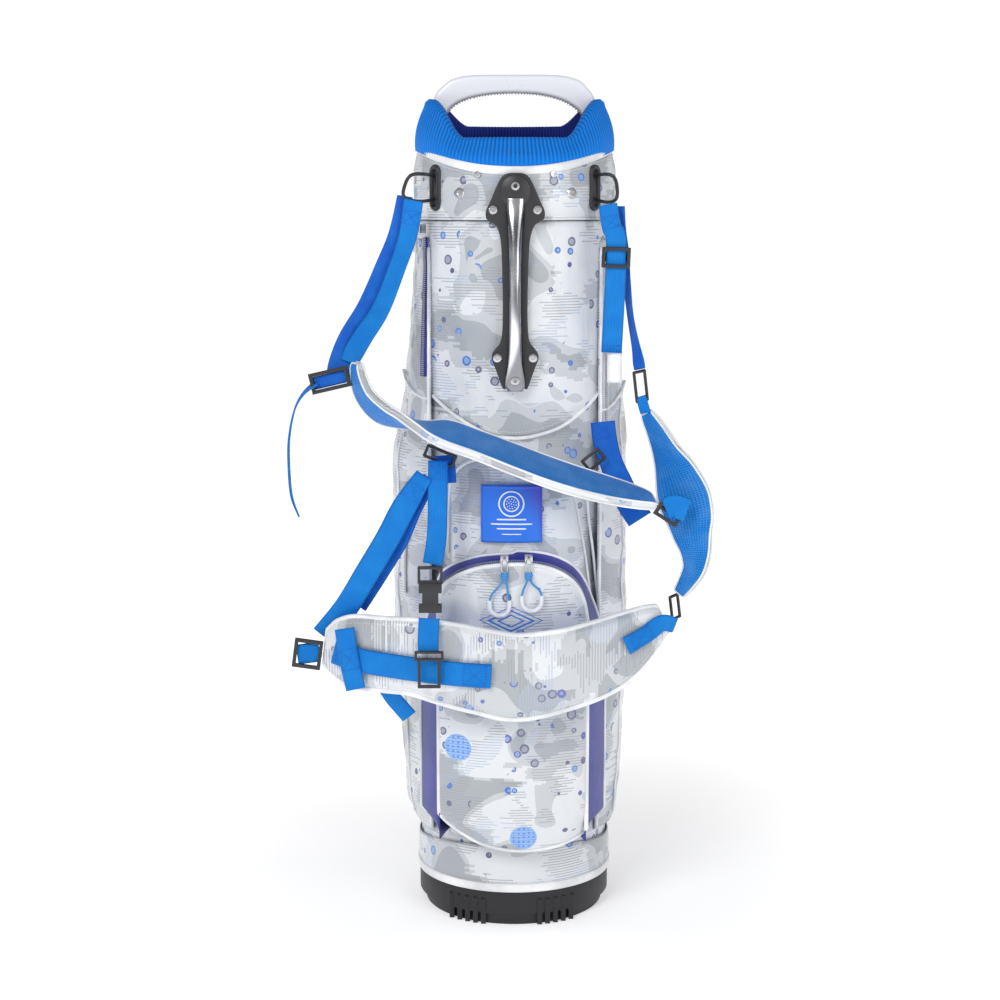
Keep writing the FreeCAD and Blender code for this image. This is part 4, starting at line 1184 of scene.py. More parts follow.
class GOLFBAG_OT_ball_pocket(bpy.types.Operator):
    """Builds the lower ball pocket: crowned front, arched zip and violet gussets"""
    bl_idname = "golfbag.ball_pocket"
    bl_label = "Ball pocket"

    def execute(self, context):
        pipe = sizes().piping / MM
        left = [(-79, 128), (-79, 335)]
        right = [(75, 108), (75, 335)]
        top = spline(ARCH_TOP, 5)
        foot = spline(BALL_FOOT, 5)
        grid = coons(left, right, foot, top, 92, 60)

        def depth(x, z, u, v):
            soft = pillow(u, v, 0.09)
            low = 0.5 * (1 - math.tanh((z - 120) / 14))
            sag = 3.0 * soft * exp(-((z - 170) / 70) ** 2)
            lift = soft * (2.2 + wrinkle((x, 0, z), 44, 1.9, 11.0) + 0.6
                           * wrinkle((x, 0, z), 14, 0.6, 4.0))
            return ball_front(x) - lift - sag + 14.0 * low * (1 - 0.3 * soft)
        front = grid_piece("ball_pocket_front", lifted(grid, depth))
        face_out(front, (0, 20, 0))
        thicken(front, 1.2)
        keep(front, "camo_fabric", replaces=["ball_pocket"], finish="camo_ball")

        arch_edge = [(x, ball_front(x), z) for x, z in top]
        foot_edge = [(x, depth(x, z, 0.5, 0.0), z) for x, z in foot]
        loop = ([(-79, ball_front(-79), z) for z in np.linspace(133, 330, 30)] + arch_edge
                + [(75, ball_front(75), z) for z in np.linspace(330, 113, 30)] + foot_edge[::-1])
        loop = evenly(loop, 3.0, closed=True)
        broad = tube("ball_piping", loop, pipe * 1.25, 12, closed=True, flat=0.9)

        # gusset from the front seam back to the bag, wider down the sides than over the arch
        open_line = ([(-79, 100), (-79, 120)] + [(-79, z) for z in np.linspace(133, 330, 24)]
                     + [tuple(p) for p in top]
                     + [(75, z) for z in np.linspace(330, 113, 24)] + [(75, 98)])
        line = evenly(open_line, 4.0)
        rows = []
        for k in range(9):
            t = k / 8
            row = []
            for x, z in line:
                side = math.tanh((330 - z) / 26) * 0.5 + 0.5
                back_x = (-99.5 if x < 0 else 96.5) * side + x * 1.03 * (1 - side)
                back_z = z + (7.5 + 2.5 * (x > 0)) * (1 - side)
                back_y = -60.0 * side + (mid_bulge(x * 1.02, min(z, 470)) - 1.0) * (1 - side)
                tuck = 1.0 - 0.02 * max(0.0, 118 - z)
                belly = 2.6 * sin(pi * t)
                push = Vector((back_x - x, 0, back_z - z))
                y0 = ball_front(x) + (2.5 if z < 125 else 0)
                px = x + (back_x * tuck - x) * t
                py = y0 + (back_y - y0) * t - 0.5 * belly * side
                pz = z + (back_z - z) * t + belly * 0.4 * (1 - side)
                px += belly * 0.5 * side * (1 if push.x > 0 else -1)
                row.append((px, py, pz))
            rows.append(row)
        gusset = grid_piece("ball_pocket_gusset", rows)
        face_out(gusset, (0, 20, 250), flat=False)
        thicken(gusset, 1.0)
        keep(gusset, "camo_fabric", finish="gusset")
        g = np.array(rows)
        outer = [tuple(p + np.array([0.0, -0.6, 0.0])) for p in g[-1]]
        outer_pipe = tube("gusset_piping", evenly(outer, 3.0), pipe * 0.95, 10)
        keep(joined("ball_pocket_piping", [broad, outer_pipe]), "white_tape", finish="piping")

        # zip round the arch, close behind the front seam
        arch_line = [p for p in line if p[1] > 318]
        tape = []
        for x, z in arch_line:
            n = Vector((x, 0, z - 291)).normalized()
            tape.append(((x + n.x * 1.6, ball_front(x) + 1.6, z + n.z * 1.6),
                         (x + n.x * 2.2, ball_front(x) + 9.0, z + n.z * 2.6), n))
        strip = grid_piece("ball_zip_tape", [[t[0] for t in tape], [t[1] for t in tape]])
        thicken(strip, 0.8, offset=0.0)
        keep(strip, "camo_fabric", finish="zip_tape")
        pts = [tuple((np.array(t[0]) + np.array(t[1])) / 2 + np.array(t[2]) * 0.9) for t in tape]
        path = evenly(pts, 2.0)
        outs = [tuple(Vector((p[0], 0, p[2] - 291)).normalized()) for p in path]
        zip_row = along_path("ball_zip_teeth", "Zip Teeth Along Path", [(path, outs)], mat("zip_teeth"),
                             Pitch=sizes().tooth / MM, Length=1.1, Width=4.2, Height=1.5)
        keep(zip_row, "steel")
        inset = []
        for x, z in evenly(top, 3.0):
            n = Vector((x, 0, z - 230)).normalized()
            inset.append((x - n.x * 7, ball_front(x - n.x * 7) - 2.6, z - n.z * 7))
        keep(stitches("ball_pocket_stitches", [tape_path(inset)], mat("thread")), "white_tape")
        return {"FINISHED"}


SIDE_REACH = {
    -1: [(92, 106), (118, 117), (196, 121), (250, 124), (318, 129), (373, 131), (438, 131), (490, 131),
         (530, 123), (560, 118), (640, 110), (722, 105)],
    1: [(92, 107), (118, 113), (186, 118), (250, 120), (322, 122), (388, 121), (490, 120), (560, 115.5),
        (640, 111.5), (722, 106)],
}


class GOLFBAG_OT_side_pockets(bpy.types.Operator):
    """Builds the two tall side pockets with their piping and zips"""
    bl_idname = "golfbag.side_pockets"
    bl_label = "Side pockets"

    def pocket_point(self, side, z, t):
        """Point on the pocket's outer face; t runs from 0 at the front edge to 1 at the back."""
        curve = spline(SIDE_REACH[side], 6)
        far = float(np.interp(z, curve[:, 0], curve[:, 1]))
        a, b = far - 50.0, 76 + 0.06 * (far - 104)
        edge = math.acos(min(1.0, 37.5 / a))
        angle = -edge + 2 * edge * t
        x, y = side * (50 + a * cos(angle)), b * sin(angle)
        hold = sin(pi * min(1.0, max(0.0, t))) ** 0.5
        p = (x, y, z)
        lift = hold * (wrinkle((x, y, 0.6 * z), 36, 2.6, 1.5 + side) - 0.2)
        n = Vector((cos(angle) * side, sin(angle), 0))
        return Vector(p) + n * lift

    def execute(self, context):
        pipe = sizes().piping / MM
        for side, label in ((-1, "left"), (1, "right")):
            rows = []
            zs = np.linspace(93, 722, 92)
            for z in zs:
                row = [self.pocket_point(side, z, t) for t in np.linspace(0, 1, 44)]
                rows.append(row)
            # close the ends down on to the tube
            for index, z in ((0, 91.0), (-1, 724.0)):
                shut = []
                for p in rows[index]:
                    d = Vector((p.x / tube_a(z) ** 2, p.y / TUBE_B ** 2, 0)).normalized()
                    k = 1 / sqrt((p.x / (tube_a(z) + 0.4)) ** 2 + (p.y / (TUBE_B + 0.4)) ** 2)
                    shut.append(Vector((p.x * k, p.y * k, z)) + d * 0.1)
                if index == 0:
                    rows.insert(0, shut)
                else:
                    rows.append(shut)
            cloth = grid_piece("side_pocket_" + label + "_cloth", [[tuple(p) for p in r] for r in rows])
            face_out(cloth)
            thicken(cloth, 1.2)
            keep(cloth, "camo_fabric", replaces=["side_pocket_" + label], finish="camo_side")

            lines = []
            for t, z0, z1 in ((0.012, 96, 716), (0.988, 96, 716)):
                line = [tuple(self.pocket_point(side, z, t) + Vector((side * 0.8, -0.8, 0)))
                        for z in np.linspace(z0, z1, 90)]
                lines.append(tube("edge", line, pipe * 0.85, 8))
            ring = [tuple(self.pocket_point(side, 560 if side < 0 else 548, t)
                          + Vector((side * 0.8, 0, 0)))
                    for t in np.linspace(0.02, 0.98, 50)]
            ring = [(x, y, z + 24 * sin(pi * k / 49) ** 2) for k, (x, y, z) in enumerate(ring)]
            lines.append(tube("yoke", ring, pipe * 0.8, 8))
            for t in (0.30, 0.70):
                line = [tuple(self.pocket_point(side, z, t) + Vector((side * 0.6, -0.3, 0)))
                        for z in np.linspace(104, 556, 70)]
                lines.append(tube("panel", line, pipe * 0.6, 8))
            keep(joined("side_piping_" + label, lines), "white_tape", finish="piping")

            # apparel zip down the front of the pocket
            z0, z1, t = (583, 726, 0.07) if side < 0 else (500, 640, 0.07)
            paths = []
            strip = []
            for z in np.linspace(z0, z1, 46):
                p, q = self.pocket_point(side, z, t - 0.035), self.pocket_point(side, z, t + 0.035)
                n = Vector((side * 0.72, -0.70, 0))
                strip.append((tuple(p + n * 0.8), tuple(q + n * 0.8)))
            tape = grid_piece("side_zip_tape_" + label, [[s[0] for s in strip], [s[1] for s in strip]])
            thicken(tape, 0.7, offset=0.0)
            keep(tape, "camo_fabric", finish="gusset" if side < 0 else "zip_white")
            mid = [tuple((np.array(s[0]) + np.array(s[1])) / 2 + np.array((side * 0.6, -0.6, 0)))
                   for s in strip]
            pts = evenly(mid, 2.0)
            paths.append((pts, [(side * 0.72, -0.70, 0.0)] * len(pts)))
            if side < 0:
                low = [tuple(self.pocket_point(side, z, 0.2) + Vector((-0.9, -0.9, 0)))
                       for z in np.linspace(352, 470, 40)]
                pts = evenly(low, 2.0)
                paths.append((pts, [(-0.8, -0.6, 0.0)] * len(pts)))
            row = along_path("side_zip_teeth_" + label, "Zip Teeth Along Path", paths, mat("zip_teeth"),
                             Pitch=sizes().tooth / MM, Length=1.1, Width=3.8, Height=1.2)
            keep(row, "steel")
        return {"FINISHED"}


# ---- collar, cuff and handles ------------------------------------------------------------
def collar_edge(t):
    """Height of the collar's upper edge at angle t: low in front, high at the two sides."""
    side = abs(cos(t)) ** 2.2
    return 796 + 24 * side


def cuff_rim(t):
    """Height of the cuff's rim at angle t: low in front, wings at the handle, level behind."""
    wing = max(0.0, abs(cos(t)) - 0.55) / 0.45
    base = 827 if sin(t) < 0 else 843
    return base + (868 - base) * (wing * wing * (3 - 2 * wing))


class GOLFBAG_OT_collar(bpy.types.Operator):
    """Builds the printed collar, its binding and the ribbed cuff"""
    bl_idname = "golfbag.collar"
    bl_label = "Collar and cuff"

    def execute(self, context):
        sides = 180
        angles = full_turn(sides)
        rows = []
        for r in range(16):
            v = r / 15
            row = []
            for t in angles:
                z = COLLAR_LOW.z + 0.2 + (collar_edge(t) - COLLAR_LOW.z) * v
                puff = 0.9 * sin(pi * v) + 0.4
                lean = 1.0 - 0.018 * max(0.0, z - 796) / 10
                p = (cos(t) * (COLLAR_A + puff) * lean, sin(t) * (COLLAR_B + puff) * lean, z)
                lift = 0.25 * wrinkle(p, 30, 1.0, 9.0)
                row.append((p[0] * (1 + lift / COLLAR_A), p[1] * (1 + lift / COLLAR_B), z))
            rows.append(row)
        band = face_out(grid_piece("collar_cloth", rows, wrap_cols=True, recalc=False))
        thicken(band, 1.6)
        keep(band, "camo_fabric", replaces=["collar_band"], finish="camo_collar")

        ring = []
        for a in full_turn(14):
            row = []
            for t in angles:
                z = collar_edge(t) - 2.6
                lean = 1.0 - 0.018 * max(0.0, z - 796) / 10
                out, up = 1.7 * cos(a), 4.4 * sin(a)
                row.append((cos(t) * ((COLLAR_A + 0.6) * lean + out),
                            sin(t) * ((COLLAR_B + 0.6) * lean + out), z + up))
            ring.append(row)
        binding = grid_piece("collar_binding", ring, wrap_cols=True, wrap_rows=True)
        low = []
        for a in full_turn(8):
            low.append([(cos(t) * (COLLAR_A + 0.5 + 1.2 * cos(a)),
                         sin(t) * (COLLAR_B + 0.5 + 1.2 * cos(a)), SEAM_Z + 1.4 + 1.2 * sin(a))
                        for t in angles])
        welt = grid_piece("collar_welt", low, wrap_cols=True, wrap_rows=True)
        dress(welt, "camo_collar")
        dress(binding, "piping")
        keep(joined("collar_bindings", [binding, welt]), "white_tape")

        seam = [(cos(t) * (COLLAR_A + 2.0), sin(t) * (COLLAR_B + 2.0), SEAM_Z + 6)
                for t in np.linspace(0, TURN, 240)]
        upper = []
        for t in np.linspace(0, TURN, 240):
            z = collar_edge(t) - 8.6
            lean = 1.0 - 0.018 * max(0.0, z - 796) / 10
            upper.append((cos(t) * (COLLAR_A + 2.0) * lean, sin(t) * (COLLAR_B + 2.0) * lean, z))
        keep(stitches("collar_stitches", [tape_path(seam), tape_path(upper)], mat("thread")),
             "white_tape")

        ribs = sizes().cuff_ribs
        around = ribs * 6
        profile_rows = 26
        verts_rows, rib_values = [], []
        for r in range(profile_rows):
            v = r / (profile_rows - 1)
            row = []
            for s in range(around):
                t = TURN * s / around
                wave = 0.5 + 0.5 * cos(TURN * s / 6)
                low_z, rim = collar_edge(t) - 5.0, cuff_rim(t)
                # outer wall leans in, rolls over the rim and comes down inside
                tall = (rim - low_z) / 76
                if v < 0.45:
                    k = v / 0.45
                    z = low_z + (rim - 7 - low_z) * k
                    lean = 12.5 * tall * k ** 1.3 - 3.4 * sin(pi * k) * (1 - 0.3 * tall)
                    lean += 0.8 + 1.2 * k
                    a, b = COLLAR_A - lean, COLLAR_B - lean
                    strength = 0.3 + 0.7 * min(1.0, k * 1.4)
                elif v < 0.62:
                    k = (v - 0.45) / 0.17
                    z = rim - 7 + 7 * sin(pi * k)
                    shift = 12.5 * tall + 6.5 * (1 - cos(pi * k))
                    a, b = COLLAR_A - 2.0 - shift, COLLAR_B - 2.0 - shift
                    strength = 1.0
                else:
                    k = (v - 0.62) / 0.38
                    z = rim - 7 - (rim - 7 - 803) * k
                    inset = 15.0 + 12.5 * tall * (1 - k)
                    a, b = COLLAR_A - inset, COLLAR_B - inset
                    strength = 0.8
                push = 0.75 * (wave - 0.5) * strength
                if v > 0.62:
                    push = -push
                row.append((cos(t) * (a + push), sin(t) * (b + push),
                            z + (0.5 * push if 0.45 < v < 0.62 else 0)))
                rib_values.append(wave * strength + (1 - strength) * 0.8)
            verts_rows.append(row)
        cuff = grid_piece("ribbed_cuff", verts_rows, wrap_cols=True, recalc=False)
        mesh = cuff.data
        # the rib attribute tells the knit finish where to paint shade between the ribs
        layer = mesh.attributes.new("rib", "FLOAT", "POINT")
        layer.data.foreach_set("value", np.array(rib_values, dtype=np.float32))
        mesh.materials.append(mat("knit"))
        mesh.materials.append(mat("knit_inner"))
        # the inner faces of the cuff take the darker knit copy, painted shade
        inner_from = around * int(0.56 * (profile_rows - 1))
        for i, poly in enumerate(mesh.polygons):
            poly.material_index = 1 if i >= inner_from else 0
        outer = [p for p in mesh.polygons[:around * 8]]
        if sum(p.normal.x * p.center.x + p.normal.y * p.center.y for p in outer) < 0:
            mesh.flip_normals()
        keep(cuff, "blue_knit", replaces=["cuff"])
        return {"FINISHED"}


class GOLFBAG_OT_grab_handle(bpy.types.Operator):
    """Builds the moulded arch over the mouth, with its grip teeth and screws"""
    bl_idname = "golfbag.grab_handle"
    bl_label = "Grab handle"

    def execute(self, context):
        top = HANDLE_HIGH.z
        half = HANDLE_HIGH.x
        outer = spline([(-half + 1, 812), (-half + 1, 842), (-half + 0.5, 862), (-half + 2.5, 873),
                        (-half + 11, 882),
                        (-64, 888.5), (-44, top - 0.8), (0, top - 0.3), (44, top - 0.8), (66, 887.5),
                        (half - 10, 880), (half - 2.5, 870), (half - 0.5, 858), (half - 1, 842),
                        (half - 1, 812)], 8)
        inner = spline([(-75.5, 812), (-76, 832), (-75, 843), (-69.5, 855), (-60, 863.5), (-45, 869.5),
                        (-24, 873.2),
                        (0, 874.2), (24, 873), (45, 868.5), (59, 862), (69, 853.5), (75, 842),
                        (76, 832), (75.5, 812)], 8)
        count = 150
        o = evenly(outer, 1.0)
        i = evenly(inner, 1.0)
        o = np.array([o[int(round(k * (len(o) - 1) / count))] for k in range(count + 1)])
        i = np.array([i[int(round(k * (len(i) - 1) / count))] for k in range(count + 1)])
        rows = []
        half_depth, edge = 12.6, 4.2
        for k in range(count + 1):
            a, b = o[k], i[k]
            wide = np.linalg.norm(a - b)
            d = (b - a) / wide
            r = min(edge, wide * 0.42)
            section = []
            for cx, cy, start in ((wide - r, half_depth - r, 0), (r, half_depth - r, 90),
                                  (r, -half_depth + r, 180), (wide - r, -half_depth + r, 270)):
                for j in range(5):
                    t = radians(start + 90 * j / 4)
                    section.append((cx + r * cos(t), cy + r * sin(t)))
            rows.append([(a[0] + d[0] * u, y, a[1] + d[1] * u) for u, y in section])
        arch = grid_piece("grab_arch", rows, wrap_cols=True, cap=True)
        dress(arch, "white_plastic")
        teeth = []
        for k in range(24, count - 23, 2):
            p = i[k]
            q = i[k + 1] - i[k - 1]
            t = Vector((q[0], 0, q[1])).normalized()
            teeth.append((Vector((p[0], 0, p[1])), t))
        pads = []
        for centre, t in teeth:
            n = Vector((-t.z, 0, t.x))
            if n.z > 0:
                n = -n
            verts = []
            for y in (-9.0, 9.0):
                for u, h in ((-0.62, -0.5), (0.62, -0.5), (0.36, 0.95), (-0.36, 0.95)):
                    verts.append(tuple(centre + t * u + n * h + Vector((0, y, 0))))
            faces = [(0, 1, 2, 3), (7, 6, 5, 4), (0, 4, 5, 1), (1, 5, 6, 2), (2, 6, 7, 3), (3, 7, 4, 0)]
            pads.append(piece("tooth", verts, faces, smooth=False))
        # the teeth take the grey grip finish, painted shade under the arch
        for p in pads:
            dress(p, "grip")
        handle = joined("grab_handle_arch", [arch] + pads)
        keep(handle, "white_plastic", replaces=["grab_handle"])
        screws = refined("grab_handle_screws", 0.4, "grab_handle_screw_heads")
        keep(screws, "steel", replaces=["grab_handle_screws"], finish="steel")
        return {"FINISHED"}


FRAME_RIGHT = [(0, 791), (8, 790.4), (14, 786.5), (19.5, 776), (25.5, 762), (29.3, 753.5), (29.0, 746),
               (25, 743.2),
               (19.5, 739), (15.8, 730), (14, 716), (13, 690), (12.5, 660), (13, 634), (15, 622),
               (20, 615.5), (23.2, 610.5),
               (23.4, 604.5), (20.5, 597), (16.5, 586), (13.6, 577.5), (11.0, 574.6), (8.6, 577)]


def screw_head(centre, radius, out, socket=True):
    """Low round head with a six-sided socket; faces along out."""
    sides = 36
    rings = [(radius, 0.0), (radius, 0.9), (radius * 0.86, 1.7), (radius * 0.55, 1.9)]
    normal = Vector(out).normalized()
    side = normal.cross(Vector((0, 0, 1)))
    if side.length < 0.1:
        side = Vector((1, 0, 0))
    side.normalize()
    up = side.cross(normal)

    def hexed(angle, r):
        step = pi / 3
        return r * cos(step / 2) / cos((angle % step) - step / 2)

    def ring(h, reach):
        return [tuple(Vector(centre) + (side * cos(a) + up * sin(a)) * reach(a) + normal * h)
                for a in full_turn(sides)]
    rows = [ring(h, lambda a: r) for r, h in rings]
    if socket:
        rows += [ring(h, lambda a: hexed(a, radius * 0.48)) for h in (1.9, 0.5)]
    head = grid_piece("screw", rows, wrap_cols=True, cap=True)
    shade_by_angle(head, 30)
    return head


class GOLFBAG_OT_carry_handle(bpy.types.Operator):
    """Builds the carry handle on the front: black frame, polished bar and six screws"""
    bl_idname = "golfbag.carry_handle"
    bl_label = "Carry handle"

    def execute(self, context):
        face_y = span("carry_handle_frame")[0].y
        right = [tuple(p) for p in spline(FRAME_RIGHT, 4)]
        left = [(-x, z) for x, z in reversed(right[1:])]
        notch = [tuple(p) for p in spline([(8.6, 577), (7.6, 584), (7.0, 600), (6.2, 625), (5.6, 660),
                                           (5.8, 700), (7.2, 740),
                                           (8.3, 752), (5, 749), (0, 748), (-5, 749), (-8.3, 752),
                                           (-7.2, 740), (-5.8, 700), (-5.6, 660),
                                           (-6.2, 625), (-7.0, 600), (-7.6, 584), (-8.6, 577)], 4)]
        outline = right[:-1] + notch + left[1:]
        outline = [p for k, p in enumerate(outline) if k == 0 or math.dist(p, outline[k - 1]) > 0.15]
        if math.dist(outline[0], outline[-1]) < 0.15:
            outline.pop()
        plate = flat_plate("handle_plate", [outline], face_y, 6.0, 1.4)
        feet = []
        for z0, z1, back in ((757, 787, -101.0), (579, 600, -102.6)):
            base = Vector((0, (face_y + 5 + back) / 2, (z0 + z1) / 2)) * MM
            bm = bmesh.new()
            bmesh.ops.create_cube(bm, size=1.0, matrix=Matrix.Translation(base) @ Matrix.Diagonal(
                (26 * MM, abs(back - face_y - 5) * MM, (z1 - z0) * MM, 1)))
            mesh = bpy.data.meshes.new("foot")
            bm.to_mesh(mesh)
            bm.free()
            foot = bpy.data.objects.new("foot", mesh)
            bpy.context.collection.objects.link(foot)
            rounded(foot, 1.2)
            feet.append(apply_modifiers(foot))
        # raised boss under the top screw
        boss = []
        for r, h in ((15.5, 0.0), (15.5, 1.2), (14.2, 2.1), (0.4, 2.3)):
            boss.append([(r * cos(TURN * k / 48), face_y - h, 773 + r * 1.05 * sin(TURN * k / 48))
                         for k in range(48)])
        boss_obj = grid_piece("boss", boss, wrap_cols=True, cap=True)
        shade_by_angle(boss_obj)
        frame_obj = joined("carry_handle_plate", [plate, boss_obj] + feet)
        keep(frame_obj, "black_plastic", replaces=["carry_handle_frame"], finish="black")

        # polished bar: wide at both ends, slim and bowed out between them
        stations = spline([
            (766, 9.0, 0.9), (756, 8.4, 2.6), (742, 7.0, 6.0), (722, 5.2, 9.5), (700, 4.6, 12.3),
            (672, 4.3, 13.6), (650, 4.5, 13.4),
            (628, 5.0, 11.2), (610, 6.0, 8.2), (597, 7.6, 5.6), (587, 9.4, 4.2), (578, 9.8, 3.5),
            (573.4, 7.0, 3.1)], 8)
        rows = []
        for z, half, off in stations:
            ring = []
            thick = 1.9
            for a in full_turn(24):
                cx = math.copysign(abs(cos(a)) ** 0.55, cos(a)) * half
                cy = math.copysign(abs(sin(a)) ** 0.8, sin(a)) * thick
                crown = 0.9 * (1 - (cx / max(half, 1e-6)) ** 2)
                ring.append((cx, face_y - off - 0.4 - crown * (cy < 0) + cy, z))
            rows.append(ring)
        bar = grid_piece("carry_handle_grip", rows, wrap_cols=True, cap=True)
        keep(bar, "aluminium", replaces=["carry_handle_bar"], finish="chrome")

        heads = [screw_head((0, face_y - 1.6, 778), 4.6, (0, -1, 0))]
        for x, z in ((-22, 754.5), (22, 754.5), (-17.8, 606.5), (17.8, 606.5)):
            heads.append(screw_head((x, face_y - 0.2, z), 4.6, (0, -1, 0)))
        heads.append(screw_head((0, face_y - 6.4, 584), 4.6, (0, -1, 0)))
        keep(joined("carry_handle_screw_heads", heads), "steel", replaces=["carry_handle_screws"],
             finish="steel")
        return {"FINISHED"}


def collar_normal(x, a, b):
    y = front_of(a, b, x)
    n = Vector((x / a ** 2, y / b ** 2, 0)).normalized()
    return Vector((x, y, 0)), n


SLOT_HALF = 15.5


class GOLFBAG_OT_collar_hardware(bpy.types.Operator):
    """Builds the collar's studs, slotted grommets and wire loops"""
    bl_idname = "golfbag.collar_hardware"
    bl_label = "Collar hardware"

    def execute(self, context):
        heads = []
        for x, z, r in ((-56, 771, 5.6), (57, 771, 5.6), (-37, 790, 3.6), (38, 790, 3.6)):
            at, n = collar_normal(x, COLLAR_A + 1.0, COLLAR_B + 1.0)
            at.z = z
            heads.append(screw_head(at, r, n))
        keep(joined("collar_stud_heads", heads), "steel", replaces=["collar_studs"], finish="steel")

        rings = []
        for side in (-1, 1):
            at, n = collar_normal(side * 81.0, COLLAR_A + 1.2, COLLAR_B + 1.2)
            at.z = 776.5
            across = Vector((0, 0, 1)).cross(n).normalized()
            path = []
            for a in full_turn(56):
                u = 5.6 * cos(a)
                v = 5.6 * sin(a) + (SLOT_HALF if sin(a) > 0 else -SLOT_HALF)
                path.append(tuple(at + across * u + Vector((0, 0, v)) + n * 0.4))
            path = evenly(path, 2.0, closed=True)
            rings.append(tube("grommet_ring", path, 2.5, 12, closed=True))
            plate = []
            for d in (-1.4, 2.2):
                row = []
                for a in (TURN * (k + 0.5) / 40 for k in range(40)):
                    v = 3.4 * sin(a) + (SLOT_HALF if sin(a) > 0 else -SLOT_HALF)
                    row.append(tuple(at + across * (3.4 * cos(a)) + Vector((0, 0, v)) - n * d))
                plate.append(row)
            rings.append(grid_piece("grommet_back", plate, wrap_cols=True, cap=True))
        keep(joined("slotted_grommets", rings), "black_plastic", replaces=["strap_grommets"],
             finish="black")

        wires = []
        for side, route in ((-1, LOOP_LEFT), (1, LOOP_RIGHT)):
            at, n = collar_normal(side * 81.0, COLLAR_A, COLLAR_B)
            start = at + n * 1.5
            pts = [(start.x, start.y, 788.5)] + route + [(start.x, start.y, 764.5)]
            wires.append(tube("loop", spline(pts, 8), 1.8, 12))
        keep(joined("strap_wire_loops", wires), "black_wire", replaces=["strap_loops"], finish="wire")
        return {"FINISHED"}


LOOP_LEFT = [(-92, -90, 790), (-104, -96, 789), (-110, -97, 781), (-112, -96, 768), (-99, -90, 763)]
LOOP_RIGHT = [(90, -88, 790), (98, -93, 788), (102, -94, 780), (102, -94, 766), (94, -86, 762)]


# ---- straps: stations are (x, y, z, width, twist), as the frame's straps have them -----------
LEFT_FRONT_PLY = [(-102, -100, 764, 20, 10), (-108, -94, 730, 21, 25), (-118, -99, 700, 22, 35),
                  (-135, -107, 657, 24, 38), (-153, -114, 629, 25, 35), (-163, -118, 612, 24, 30),
                  (-167, -120, 603, 21, 25)]
LEFT_BACK_PLY = [(-111, -91, 768, 16, -10), (-119, -83, 730, 20, -20), (-132, -86, 697, 22, -25),
                 (-149, -94, 657, 24, -25), (-167, -104, 626, 24, -15), (-176, -118, 600, 25, 0),
                 (-177, -126, 586, 25, 0)]
LEFT_TAIL = [(-198, -128, 584, 25, 80), (-212, -127, 573, 25, 84), (-222, -126, 556, 25, 86),
             (-228, -125, 528, 25, 87), (-229, -125, 502, 25, 87), (-227, -125, 469, 25, 86),
             (-220, -125, 447, 25, 80)]
RIGHT_FRONT_PLY = [(93, -98, 760, 19, 0), (97, -99, 738, 20, 0), (102, -100, 716, 21, 0),
                   (98, -100, 611, 21, 0)]
RIGHT_BACK_PLY = [(104, -86, 758, 20, 50), (107, -84, 735, 20, 60), (111, -84, 712, 20, 65),
                  (114, -84, 680, 20, 70), (118, -88, 645, 20, 75), (124, -95, 612, 18, 60),
                  (127, -99, 594, 12, 20)]
CROSS_WEB = [(-92, -133, 490, 20, 30), (-112, -136, 458, 25, 10), (-129, -140, 426, 25, 5),
             (-150, -142, 391, 25, 0), (-172, -133, 354, 25, 0), (-197, -124, 322, 25, 0)]
CROSS_WEB_UNDER = [(-86, -127, 486, 20, 40), (-104, -128, 455, 22, 30), (-118, -130, 424, 22, 25),
                   (-140, -128, 388, 22, 20), (-162, -122, 354, 22, 10)]
BUCKLE_WEB = [(-78, -127, 504, 20, 0), (-78, -140, 470, 20, 0), (-79, -150, 430, 20, 0),
              (-83, -160, 404, 20, 0)]
BUCKLE_WEB_LOW = [(-86, -176, 352, 21, 0), (-87, -180, 330, 21, 0), (-87, -182, 318, 21, 0)]
ANCHOR_WEB_LEFT = [(-72, -117, 508, 21, 0), (-71, -119, 496, 21, 0), (-70, -121, 480, 21, 0)]
ANCHOR_WEB_RIGHT = [(90, -96, 540, 25, 0), (92, -98, 523, 25, 0), (98, -100, 500, 24, 0),
                    (108, -104, 478, 25, -5), (116, -108, 460, 27, -10), (128, -112, 441, 27, -12)]
HIP_TAIL = [(-150, -145, 306, 17, 0), (-140, -145, 287, 17, 0), (-126, -140, 262, 17, 0),
            (-118, -134, 250, 17, 0), (-109, -130, 238, 17, 0)]
END_TAIL = [(152, -136, 456, 22, 0), (161, -138, 459, 24, 0), (174, -138, 455, 25, 0)]
PAD_DIAGONAL = [(-158, -138, 604, 13, 61), (-156, -137, 588, 24, 63), (-150, -135, 570, 36, 63),
                (-136, -136, 555, 44, 63), (-116, -138, 547, 50, 73), (-93, -141, 540, 54, 90),
                (-70, -144, 534, 56, 105), (-36, -146, 522, 58, 105), (3, -147, 507, 58, 106),
                (32, -147, 496, 58, 106), (62, -146, 486, 58, 105), (93, -143, 477, 54, 104),
                (119, -139, 470, 42, 104), (140, -134, 464, 26, 103)]
PAD_RIGHT = [(134, -102, 550, 12, 30), (144, -104, 533, 22, 40), (154, -107, 512, 32, 40),
             (164, -110, 490, 46, 30), (172, -112, 466, 54, 20), (178, -114, 446, 50, 20),
             (181, -115, 428, 42, 25), (185, -115, 408, 32, 30), (184, -115, 390, 24, 35),
             (176, -114, 374, 17, 30), (169, -113, 364, 12, 20)]
PAD_BACK = [(-193, -134, 313, 36, 0), (-183, -139, 312, 58, 0), (-164, -147, 311, 73, 0),
            (-130, -157, 310, 75, 0), (-99, -164, 309, 77, 0), (-62, -169, 302, 83, 0),
            (-29, -171, 295, 85, 0), (4, -171, 290, 87, 0), (52, -169, 298, 80, 0),
            (88, -162, 309, 74, 0), (114, -153, 322, 62, 0), (136, -142, 335, 44, 0),
            (150, -134, 342, 30, 0)]
